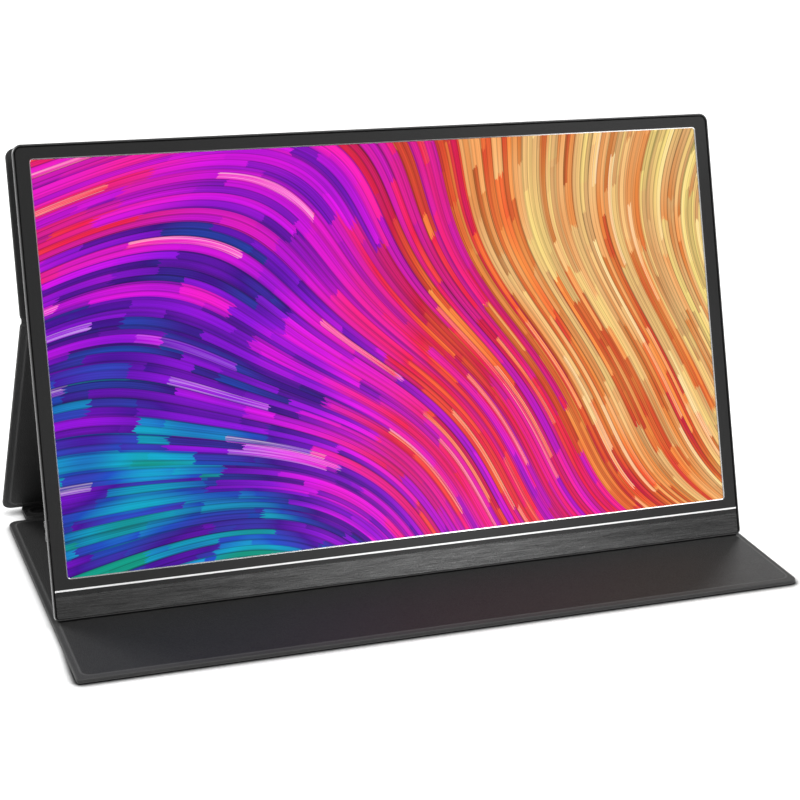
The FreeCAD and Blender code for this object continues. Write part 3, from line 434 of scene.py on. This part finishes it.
def bend_corner(x, y, half_x, half_y, radius):
    """Moves a point of a square-cornered grid into a rounded outline, with its outward turn."""
    over_x = abs(x) - (half_x - radius)
    over_y = abs(y) - (half_y - radius)
    sign_x = math.copysign(1, x)
    sign_y = math.copysign(1, y)
    if over_x <= 0 or over_y <= 0:
        return x, y, ((sign_x, 0) if over_x > over_y else (0, sign_y))
    if over_x >= over_y:
        out, turn = over_x / radius, math.pi / 4 * over_y / over_x
    else:
        out, turn = over_y / radius, math.pi / 2 - math.pi / 4 * over_x / over_y
    away = (math.cos(turn), math.sin(turn))
    return (sign_x * (half_x - radius + radius * out * away[0]),
            sign_y * (half_y - radius + radius * out * away[1]),
            (sign_x * away[0], sign_y * away[1]))


def depth_inside(x, y, half_x, half_y, radius):
    """How far a point lies inside a rounded rectangle; negative outside."""
    over_x = abs(x) - half_x + radius
    over_y = abs(y) - half_y + radius
    outside = math.hypot(max(over_x, 0), max(over_y, 0))
    return radius - outside - min(max(over_x, over_y), 0)


def soft_step(value, start, end):
    """0 before start, 1 after end and a smooth rise between them."""
    share = min(1.0, max(0.0, (value - start) / (end - start)))
    return share * share * (3 - 2 * share)


def hump(value, middle, width):
    """1 in the middle, falling smoothly to nearly 0 at twice the width from it."""
    return math.exp(-((value - middle) / width) ** 2)


near_lines = [d * MM for d in (0, 0.7, 1.3, 1.8, 2.2, 2.5, 2.8, 3.1, 3.4, 3.8, 4.3, 5.0, 6.0)]
grid_step = 6 * MM
print(len(near_lines), "close grid lines along each edge")

# %% [markdown]
# A mesh is a list of points and a list of faces, which name their points by number. A
# wrapped panel, a fold and a rounded bar are all rings of points joined by quads, so the same
# few helpers number their faces. Each new piece is shaded smooth and may carry attributes, such
# as the wear and painted highlight at each point.

# %% Faces and pieces
def face_quads(start, width, depth, upward):
    """Quads over a grid of points that is stored row by row."""
    quads = []
    for j in range(depth - 1):
        for i in range(width - 1):
            corner = start + j * width + i
            quad = (corner, corner + 1, corner + width + 1, corner + width)
            quads.append(quad if upward else quad[::-1])
    return quads


def border_places(width, depth):
    """Column and row of each point round a grid's border, in order."""
    return ([(i, 0) for i in range(width - 1)] + [(width - 1, j) for j in range(depth - 1)]
            + [(i, depth - 1) for i in range(width - 1, 0, -1)]
            + [(0, j) for j in range(depth - 1, 0, -1)])


def ring_quads(rings):
    """Quads that join each closed ring of points to the next."""
    quads = []
    for under, over in zip(rings, rings[1:]):
        for k in range(len(under)):
            after = (k + 1) % len(under)
            quads.append((under[k], under[after], over[after], over[k]))
    return quads


def tube_faces(start, size, count):
    """A tube of rings of points that follow one another, closed at both ends."""
    rings = [tuple(range(start + i * size, start + (i + 1) * size)) for i in range(count)]
    return ring_quads(rings) + [rings[0][::-1], rings[-1]]


def new_piece(name, points, faces, material, **attributes):
    """A smooth-shaded object, with one value per point in each attribute."""
    mesh = bpy.data.meshes.new(name)
    mesh.from_pydata(points, [], faces)
    for key, values in attributes.items():
        mesh.attributes.new(key, "FLOAT", "POINT").data.foreach_set("value", values)
    mesh.shade_smooth()
    piece = bpy.data.objects.new(name, mesh)
    piece.data.materials.append(material)
    bpy.context.scene.collection.objects.link(piece)
    return piece


print("a closed tube of two rings of 24 points has", len(tube_faces(0, 24, 2)), "faces")

# %% [markdown]
# The board shows through the sheet as a raised area with a soft shoulder. A flat pressed band
# runs round it, with a groove beside the shoulder, and the edge is round with a glued seam
# along its middle. The height of each point follows from how far it lies inside the board's
# outline. Both faces are made first, and rings of points round the edge then join them.

# %% Panel mesh
edge_turns = [math.radians(a) for a in (-82, -68, -54, -42, -30, -16, -6, 0, 6, 16, 30, 42, 54,
                                        68, 82)]
round_edge = 1.05 * MM
board_corner = 4.5 * MM
shoulder_start, shoulder_end = -0.5 * MM, 0.8 * MM
groove_place, groove_width = -0.8 * MM, 0.5 * MM
groove_depth = 0.07 * MM
sag_depth = 0.12 * MM
sag_reach = 7 * MM
imprint_depth, imprint_width = 0.14 * MM, 0.6 * MM
glued_seam_depth = 0.1 * MM
least_radius = 0.1 * MM


def squared(value):
    """Bends a sine or cosine so that a round edge becomes nearly square."""
    return math.copysign(abs(value) ** 0.5, value)


def panel(name, body, matrix, band, low_radius, high_radius, left_low=None):
    """Builds one panel of the cover in place of its skin and lining."""
    if left_low is None:
        left_low = low_radius

    def corner_radius(x, y):
        """How round the nearest corner is, along the middle of the round edge."""
        radius = high_radius if y > 0 else low_radius if x > 0 else left_low
        return max(radius - round_edge, least_radius)

    low, high = local_box(name + "_skin", matrix)
    plateau = local_box(name + "_lining", matrix)[1].z
    hem = high.z
    middle_y = (low.y + high.y) / 2
    half_x = high.x - round_edge
    half_y = (high.y - low.y) / 2 - round_edge
    board_x = high.x - band
    board_y = (high.y - low.y) / 2 - band
    columns = lines_between(-half_x, half_x, near_lines, grid_step)
    rows = lines_between(-half_y, half_y, near_lines, grid_step)
    count_x, count_y = len(columns), len(rows)
    points = []
    wear = []
    lining = []
    faces = []

    def height(x, y, side):
        """Height, wear and painted highlight, and lining share at a point of the upper (1) or lower
        (-1) face.
        """
        depth = depth_inside(x, y, board_x, board_y, board_corner)
        if side > 0:
            raised = soft_step(depth, shoulder_start, shoulder_end)
            groove = groove_depth * hump(depth, groove_place, groove_width)
            sunk = sag_depth * math.exp(-max(depth, 0) / sag_reach) * raised
            # painted highlight: the pressed band and a line just inside the board's shoulder go
            # paler
            worn_and_highlit = 0.5 * (1 - raised) + hump(depth, 0.3 * MM, 0.4 * MM)
            return hem + (plateau - hem) * raised - groove - sunk, worn_and_highlit, raised
        return imprint_depth * hump(depth, 0, imprint_width), 0.0, 0.0

    for side in (1, -1):
        start = len(points)
        for y in rows:
            for x in columns:
                px, py, _ = bend_corner(x, y, half_x, half_y, corner_radius(x, y))
                z, worn_and_highlit, lining_and_shade = height(px, py, side)
                points.append((px, py + middle_y, z))
                wear.append(worn_and_highlit * 0.6)
                lining.append(lining_and_shade)
        faces += face_quads(start, count_x, count_y, side > 0)
    border = border_places(count_x, count_y)
    rings = [[start + j * count_x + i for i, j in border]]
    for turn in edge_turns:
        ring = []
        for i, j in border:
            x, y = columns[i], rows[j]
            px, py, away = bend_corner(x, y, half_x, half_y, corner_radius(x, y))
            out = round_edge * squared(math.cos(turn)) - (glued_seam_depth if turn == 0 else 0)
            ring.append(len(points))
            points.append((px + away[0] * out, py + middle_y + away[1] * out,
                           hem / 2 + hem / 2 * squared(math.sin(turn))))
            # edge wear, with a painted highlight line near the top of the round edge
            wear.append(0.35 + 0.45 * hump(abs(turn), 0.75, 0.3))
            lining.append(0.0)
        rings.append(ring)
    rings.append([j * count_x + i for i, j in border])
    faces += ring_quads(rings)
    piece = new_piece(name + "_cover", [matrix @ Vector(p) for p in points], faces,
                      outer_leather, wear=wear, lining=lining)
    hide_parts(name + "_skin", name + "_lining")
    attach(piece, body)
    print(piece.name, len(points), "points")


panel("base", "base_panel", base_frame, band=2.7 * MM, low_radius=3.2 * MM,
      high_radius=5 * MM, left_low=1.15 * MM)
panel("spine", "spine_strip", base_frame, band=2.5 * MM, low_radius=1 * MM, high_radius=1 * MM)
panel("leg", "leg_panel", leg_frame, band=3.3 * MM, low_radius=5 * MM, high_radius=0.6 * MM)
panel("back_panel", "display", back_frame, band=3.3 * MM, low_radius=0.6 * MM,
      high_radius=4.5 * MM)

# %% [markdown]
# Between the panels the sheet has no board in it and bends. Each fold is a strip whose outer
# face runs round the fold's axis and whose inner face pinches into a crease, with small
# wrinkles along it. It thins a little towards its two ends.

# %% Folds
def fold_strip(name, axis, turn_a, turn_b, half):
    """A strip from the panel that lies at turn_a to the one at turn_b, both seen from the axis."""
    reach = 2.4 * MM
    slack = 0.1 * MM
    end_length = 0.6 * MM
    end_fullness = 0.6
    crease_width = 0.22
    wrinkle_depth = 0.05
    across = 17
    along = 120
    toward_a = Vector((0, math.cos(turn_a), math.sin(turn_a)))
    toward_b = Vector((0, math.cos(turn_b), math.sin(turn_b)))
    out_a = Vector((0, -math.sin(turn_a), math.cos(turn_a)))
    out_b = Vector((0, math.sin(turn_b), -math.cos(turn_b)))
    thick = half_hem - slack

    def outline(share, side):
        """A point of the strip's outer (side 1) or inner (side -1) face."""
        start = toward_a * reach + out_a * side * thick
        end = toward_b * reach + out_b * side * thick
        bisector = (out_a + out_b).normalized() * side
        limit = thick + (slack if side > 0 else 0.0)
        control = bisector * limit * 2 - (start + end) / 2
        return (start * (1 - share) ** 2 + control * 2 * share * (1 - share)
                + end * share ** 2)

    points = []
    wear = []
    for i in range(along + 1):
        x = -half + 2 * half * i / along
        inward = max(0.0, 1 - (abs(x) - (half - end_length)) / end_length)
        fullness = min(1.0, inward + end_fullness)
        for k in range(across * 2):
            side = 1 if k < across else -1
            share = k / (across - 1) if k < across else (across * 2 - 1 - k) / (across - 1)
            point = outline(share, side)
            crease = hump(share, 0.5, crease_width)
            wrinkle = (math.sin(x * 2300 + share * 9) + math.sin(x * 3700 - share * 7 + 1.3)
                       + math.sin(x * 900)) / 3
            point = point * (1 + wrinkle_depth * wrinkle * crease) * (0.4 + 0.6 * fullness)
            points.append(axis + point + Vector((x, 0, 0)))
            wear.append(0.55 * crease if side > 0 else 0.1)
    piece = new_piece(name + "_strip", points, tube_faces(0, across * 2, along + 1),
                      outer_leather, wear=wear)
    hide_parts(name)
    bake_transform(piece)
    print(piece.name, len(points), "points")


base_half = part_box("base_fold")[1].x
fold_strip("base_fold", base_axis, math.pi, 0.0, base_half)
fold_strip("foot_fold", foot_axis, math.pi, leg_turn, base_half)
fold_strip("back_fold", back_axis, leg_turn + math.pi, screen_turn,
           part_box("back_fold")[1].x)

# %% [markdown]
# The display's finishes are painted in the display's own directions: across the screen, up
# the screen and out of it. Turning the object's coordinates by the lean gives them once, and
# every finish on the display can then say "the top two millimetres" or "along the chin".

# %% Directions on the display
chin_y = -42.359 * MM
chin_z = 3.060 * MM


def screen_axes(finish):
    """Across, up and out of the screen, from the middle of the front bottom edge."""
    x, y, z = finish.axes()
    y = y - chin_y
    z = z - chin_z
    up = y * math.sin(lean) + z * math.cos(lean)
    out = z * math.sin(lean) - y * math.cos(lean)
    return x, up, out


def facing(finish):
    """How far the surface faces out of the screen."""
    normal = finish.node("ShaderNodeTexCoord", {}, {}, "Normal")
    _, y, z = finish.axes(normal)
    return z * math.sin(lean) - y * math.cos(lean)


screen_frame = Matrix.Translation((0, chin_y, chin_z)) @ Matrix.Rotation(screen_turn, 4, "X")
body_low, body_high = local_box("rear_housing", screen_frame)
print("screen leans", round(math.degrees(lean), 1), "degrees; body reaches",
      [round(v, 4) for v in body_high])

# %% [markdown]
# The housing is milled from aluminium, blasted fine and anodised dark. The narrow chamfer
# round its front is smoother, so it catches the lamp as a thin line. The chamfer is found by
# its tilt: it faces half forwards and half outwards. The ledge behind the rim, which carries
# the front panels, is painted black as painted shade, so that the gap beside them reads as a
# dark line.

# %% Housing metal
def finish_nodes(material, *names):
    """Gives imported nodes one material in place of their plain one."""
    for name in names:
        nodes[name].data.materials.clear()
        nodes[name].data.materials.append(material)


housing = Finish("housing_metal")
across, up, out = screen_axes(housing)
chamfer_depth = 0.9 * MM
chamfer = facing(housing).between(0.55, 0.85) * (out > -chamfer_depth)
blast = housing.noise(housing.place, 5200.0, 2.0)
cloud = housing.noise(housing.place, 60.0, 3.0)
coat_colour = housing.mix(blast * 0.5 + cloud * 0.5, grey(0.04), grey(0.065))
cut_colour = housing.mix(blast, grey(0.16), grey(0.22))
wall = 0.6 * MM
ledge_front, ledge_back = -0.4 * MM, -2.0 * MM
# painted shade: the ledge in the gap behind the rim is made black
painted_gap_shade = ((abs(across) < body_high.x - wall) * (up > body_low.y + wall)
          * (up < body_high.y - wall) * out.between(ledge_back, ledge_front))
metal_colour = housing.mix(chamfer, coat_colour, cut_colour)
housing_metal = housing.surface(
    Base_Color=housing.mix(painted_gap_shade, metal_colour, grey(0.002)),
    Metallic=(0.6 + chamfer * 0.4) * (1 - painted_gap_shade),
    Roughness=0.42 + blast * 0.1 - chamfer * 0.16 + painted_gap_shade * 0.4,
    Normal=housing.bump(blast, 0.02 * MM, 0.35))
finish_nodes(housing_metal, "rear_housing")
print("housing finished")

# %% [markdown]
# A brushed face is thousands of fine scratches in one direction. Noise that is stretched
# along the chin and squeezed up it gives their tone, their roughness and their depth.

# %% Chin and bright strips
def brushed(name, dark, bright, rough, stretch=40.0, squeeze=2600.0, depth=0.03 * MM,
            metallic=0.85):
    """A metal brushed along the chin: stretch along it and squeeze across it set the scratches."""
    finish = Finish(name)
    across, up, out = screen_axes(finish)
    place = finish.point(across * stretch, up * squeeze, out * squeeze)
    scratches = finish.noise(place, 1.0, 4.0, 0.65)
    fine = finish.noise(finish.point(across * stretch * 5, up * squeeze * 2.5,
                                     out * squeeze * 2.5), 1.0, 2.0)
    tone = scratches.rise(0.25, 0.75) * 0.7 + fine * 0.3
    return finish.surface(Base_Color=finish.mix(tone, grey(dark), grey(bright)), Metallic=metallic,
                          Roughness=rough + fine * 0.12, Normal=finish.bump(tone, depth, 0.5),
                          Anisotropic=0.5)


chin_metal = brushed("chin_metal", 0.016, 0.10, 0.22, stretch=70.0)
bright_metal = brushed("bright_metal", 0.90, 0.98, 0.2, stretch=12.0, squeeze=900.0,
                       depth=0.004 * MM, metallic=0.1)
trim_metal = brushed("trim_metal", 0.5, 0.62, 0.16, stretch=12.0, squeeze=900.0,
                     depth=0.004 * MM, metallic=1.0)
finish_nodes(chin_metal, "chin_plate")
finish_nodes(bright_metal, "chin_strip")
finish_nodes(trim_metal, "screen_trim")
print("chin and strips finished")

# %% [markdown]
# The frame round the glass is moulded in matte black plastic with a fine spark-eroded
# texture, which scatters light so evenly that it looks like dark paper.

# %% Plastics
def moulded(name, dark, pale, rough, texture=2600.0, depth=0.02 * MM, metallic=0.0, gloss=0.5):
    """A speckled finish, with texture as the number of specks in a metre."""
    finish = Finish(name)
    speckle = finish.noise(finish.place, texture, 3.0, 0.6)
    flow = finish.noise(finish.place, 24.0, 2.0)
    tone = speckle * 0.6 + flow * 0.4
    return finish.surface(Base_Color=finish.mix(tone, dark, pale), Roughness=rough + speckle * 0.1,
                          Metallic=metallic, Normal=finish.bump(speckle, depth, 0.4),
                          Specular_IOR_Level=gloss)


bezel_plastic = moulded("bezel_plastic", grey(0.004), grey(0.010), 0.3, gloss=0.36)
black_plastic = moulded("black_plastic", grey(0.010), grey(0.022), 0.45)
finish_nodes(bezel_plastic, "front_bezel")
finish_nodes(black_plastic, "speaker_left", "speaker_right", "power_switch", "rocker_bracket",
             "rocker_switches", "audio_jack")
print("plastics finished")

# %% [markdown]
# The lit glass shows a generic picture: brush strokes that fan out from beyond the lower
# right corner and roll like waves. Polar coordinates about that corner, bent by two sines,
# give each point a row and a place along it. Cutting both into whole numbers makes strokes,
# and each stroke gets a random number.

# %% Brush strokes
glass = Finish("screen_glass")
across, up, out = screen_axes(glass)
fan_x, fan_y = 0.265, -0.075
from_x = fan_x - across
from_y = up - fan_y
distance = (from_x ** 2 + from_y ** 2) ** 0.5
angle = from_y.math("ARCTAN2", from_x)
bent = (angle + (distance * 15.0 - 0.9).sine() * 0.13
        + (distance * 31.0 + angle * 5.0).sine() * 0.035)


def strokes(rows, length, seed):
    """A random number for each brush stroke, and how near a point lies to its edge."""
    ragged = glass.noise(glass.point(bent * 420.0, distance * 9.0), 1.0, 1.0)
    place = bent * rows + seed
    row = place.floor()
    shift = glass.chance(row, seed)
    part = (distance / length + shift * 3.0 + ragged * 0.12).floor()
    edge = abs(place.math("FRACT") - 0.5).rise(0.3, 0.5)
    return glass.chance(row, part + seed * 7.0), edge


broad, broad_edge = strokes(62.0, 0.085, 3.0)
narrow, narrow_edge = strokes(118.0, 0.05, 11.0)
print("strokes fan out from", fan_x, "m across and", fan_y, "m up the screen")

# %% [markdown]
# The colours run round the fan from cool to warm, and each stroke strays a little from them by
# its random number. Fine streaks along the strokes look like the marks of bristles, and the gaps
# between strokes are darker. Only the front face glows, as the glass's sides stay in the dark.

# %% Screen picture
bristles = glass.noise(glass.point(bent * 900.0, distance * 14.0), 1.0, 3.0, 0.6)
clouds = glass.noise(glass.point(bent * 4.0, distance * 8.0, 2.7), 1.0, 2.0)
warmth = bent * 0.72 - 0.27 + clouds * 0.72 + (distance - 0.35) * -0.35
tint = warmth + (broad - 0.5) * 0.22 + (narrow - 0.5) * 0.14
palette = [(0.00, (0.00, 0.42, 0.30, 1)), (0.06, (0.00, 0.46, 0.72, 1)),
           (0.13, (0.01, 0.08, 0.60, 1)), (0.21, (0.06, 0.00, 0.34, 1)),
           (0.30, (0.27, 0.00, 0.72, 1)), (0.40, (0.80, 0.00, 0.85, 1)),
           (0.50, (0.98, 0.01, 0.40, 1)), (0.59, (0.92, 0.01, 0.08, 1)),
           (0.67, (0.98, 0.10, 0.03, 1)), (0.76, (1.00, 0.30, 0.06, 1)),
           (0.87, (1.00, 0.56, 0.22, 1)), (1.00, (1.00, 0.76, 0.24, 1))]
paint = tint.ramp(palette)
gap = narrow_edge * 0.28 + broad_edge * 0.2
shade = 0.36 + bristles * 0.95 + (narrow - 0.5) * 0.42 - gap
shaded = glass.node("ShaderNodeVectorMath", {"operation": "SCALE"}, {0: paint, "Scale": shade})
gleam = narrow.rise(0.90, 0.97) * bristles.rise(0.4, 0.7) * 0.5
picture = glass.mix(gleam, shaded, (1.0, 0.86, 0.78, 1))
glass_depth = 1.3 * MM
front = (facing(glass) > 0.9) * (out > -glass_depth)
lit = glass.mix(front, grey(0.0), picture)
screen_glass = glass.surface(Base_Color=glass.mix(front, grey(0.02), grey(0.004)),
                             Roughness=0.3 + bristles * 0.02, Specular_IOR_Level=0.08,
                             Emission_Color=lit, Emission_Strength=1.0)
finish_nodes(screen_glass, "lcd_panel")
print("picture painted with", len(palette), "colours")

# %% [markdown]
# Along the edges sit small things that the hand finds: a menu rocker on the left, and the
# power button and sockets on the right. The rocker is a rounded bar with a dip in the middle
# and a raised pad at each end, so that a finger feels up from down.

# %% Menu rocker
key_metal = moulded("key_metal", grey(0.02), grey(0.035), 0.42, texture=3000.0,
                    depth=0.01 * MM, metallic=0.6)


def rocker_piece():
    """The bar as a row of squarish rings along its length, and the pivot pin behind it."""
    low, high = local_box("menu_rocker", screen_frame)
    middle = (low + high) / 2
    bar_depth = 3.45 * MM
    bar_end = low.x + bar_depth
    dip, dip_width = 0.32 * MM, 0.34
    end_step = 0.5 * MM
    squareness = 0.45
    half_long = (high.y - low.y) / 2
    half_wide = (high.z - low.z) / 2
    stations = 33
    around = 24
    points = []
    for i in range(stations):
        share = -1 + 2 * i / (stations - 1)
        closing = max(0.0, 1 - abs(share) ** 14) ** 0.5
        sunk = dip * hump(share, 0, dip_width)
        for k in range(around):
            turn = 2 * math.pi * k / around
            c, s = math.cos(turn), math.sin(turn)
            wide = math.copysign(abs(s) ** squareness, s) * half_wide * (0.82 + 0.18 * closing)
            deep = math.copysign(abs(c) ** squareness, c)
            x_outer = low.x + sunk + (1 - closing) * end_step
            x = x_outer + (bar_end - x_outer) * (deep + 1) / 2
            points.append(screen_frame @ Vector((x, middle.y + share * half_long, middle.z + wide)))
    start = len(points)
    sides = 24
    pivot_radius = 0.8 * MM
    for level in (low.z, high.z):
        for k in range(sides):
            turn = 2 * math.pi * k / sides
            along_bar = middle.y + pivot_radius * math.sin(turn)
            inward = high.x - pivot_radius + pivot_radius * math.cos(turn)
            points.append(screen_frame @ Vector((inward, along_bar, level)))
    faces = tube_faces(0, around, stations) + tube_faces(start, sides, 2)
    piece = new_piece("menu_rocker_key", points, faces, key_metal)
    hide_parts("menu_rocker")
    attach(piece, "menu_rocker")


rocker_piece()
finish_nodes(key_metal, "power_button")
print("rocker and power button finished")

# %% [markdown]
# A socket is a plated steel shell with a black tongue that carries gold contacts. The shell
# and its tongue are one solid, so the finish tells them apart by place: the tongue is the
# flat bar in the socket's middle, and its contacts are stripes half a millimetre apart.

# %% Sockets
half_tongue_thick = 0.37 * MM
contact_pitch = 0.5 * MM
bare_edge = 0.4 * MM


def socket_finish(name, node, tongue_half):
    """Steel shell, black tongue and gold contacts; tongue_half is half the tongue's width."""
    finish = Finish(name)
    across, up, out = screen_axes(finish)
    low, high = local_box(node, screen_frame)
    middle_up = (low.y + high.y) / 2
    middle_out = (low.z + high.z) / 2
    tongue = (abs(up - middle_up) < tongue_half) * (abs(out - middle_out) < half_tongue_thick)
    inside = across < high.x - bare_edge
    stripe = ((up - middle_up) * (2 * math.pi / contact_pitch)).sine() > 0.0
    contact = tongue * inside * stripe * (abs(up - middle_up) < tongue_half - bare_edge)
    speckle = finish.noise(finish.place, 4000.0, 2.0)
    shell = finish.mix(speckle, grey(0.42), grey(0.55))
    plastic = finish.mix(speckle, grey(0.008), grey(0.018))
    base = finish.mix(tongue * inside, shell, plastic)
    return finish.surface(Base_Color=finish.mix(contact, base, (0.75, 0.48, 0.16, 1)),
                          Metallic=1 - tongue * inside * (1 - contact),
                          Roughness=0.28 + speckle * 0.12)


finish_nodes(socket_finish("usb_data_finish", "usb_c_data_socket", 3.36 * MM), "usb_c_data_socket")
finish_nodes(socket_finish("usb_power_finish", "usb_c_power_socket", 3.36 * MM),
             "usb_c_power_socket")
finish_nodes(socket_finish("hdmi_finish", "mini_hdmi_socket", 3.91 * MM), "mini_hdmi_socket")
print("sockets finished")

# %% [markdown]
# The parts inside the closed housing are never lit, but each still has a finish of its own.
# A circuit board is green solder mask over copper, whose tracks show as faint raised lines.
# Two sets of stripes stand for them, and a coarse noise decides which way they run.

# %% Circuit boards
board = Finish("circuit_board")
across, up, out = screen_axes(board)
track_a = (across * 2600.0).sine() > 0.4
track_b = (up * 2600.0).sine() > 0.4
region = board.noise(board.place, 70.0, 1.0) > 0.5
tracks = track_a * region + track_b * (1 - region)
weave = board.noise(board.place, 1800.0, 2.0)
circuit_board = board.surface(
    Base_Color=board.mix(tracks, (0.008, 0.085, 0.035, 1), (0.02, 0.15, 0.06, 1)),
    Roughness=0.34 + weave * 0.1, Normal=board.bump(tracks, 0.03 * MM, 0.4))
finish_nodes(circuit_board, "main_board", "driver_board", "key_board", "led_bar")
print("circuit boards finished")

# %% [markdown]
# The rest inside is tinned steel, white film, clear acrylic with printed dots, foam tape,
# amber film, moulded chips, nickel plate and the fibre boards that stiffen the cover. Most
# of them are the speckled finish from before in other tones. A last line looks for a node that
# was forgotten.

# %% Other inner parts
tray_steel = brushed("tray_steel", 0.42, 0.58, 0.3)
film = moulded("white_film", grey(0.78), grey(0.86), 0.3, texture=900.0)
guide = Finish("clear_guide")
across, up, out = screen_axes(guide)
dots = ((across * 3000.0).sine() * (up * 3000.0).sine()) > 0.6
guide_acrylic = guide.surface(Base_Color=guide.mix(dots, (0.75, 0.8, 0.82, 1), grey(0.92)),
                              Roughness=0.1 + dots * 0.3)
tape = moulded("foam_tape", grey(0.012), grey(0.03), 0.75, texture=1500.0, depth=0.08 * MM)
flex = moulded("amber_flex", (0.36, 0.15, 0.03, 1), (0.5, 0.24, 0.05, 1), 0.3, texture=700.0)
chips = moulded("chip_case", grey(0.014), grey(0.028), 0.5, texture=3600.0)
nickel = moulded("nickel_plate", grey(0.5), grey(0.62), 0.22, texture=800.0, depth=0.01 * MM,
                 metallic=1.0)
fibreboard = moulded("fibre_board", (0.24, 0.2, 0.15, 1), (0.36, 0.31, 0.24, 1), 0.8,
                     texture=700.0, depth=0.1 * MM)
finish_nodes(tray_steel, "panel_tray", "board_shield", "board_screws")
finish_nodes(film, "diffuser_films", "reflector_sheet", "panel_ribbon")
finish_nodes(guide_acrylic, "light_guide")
finish_nodes(tape, "panel_tapes", "back_pad")
finish_nodes(flex, "source_flexes", "key_flex", "speaker_lead_left", "speaker_lead_right")
finish_nodes(chips, "board_chips")
finish_nodes(nickel, "housing_magnets", "chin_magnets", "back_panel_magnets", "base_magnets")
finish_nodes(fibreboard, "back_panel_board", "leg_board", "spine_board", "base_board")
unfinished = [name for name, node in nodes.items() if not node.hide_render
              and not (node.data.materials and node.data.materials[0].name in
                       [m.name for m in bpy.data.materials if m.use_nodes])]
print("nodes without a finish:", unfinished)
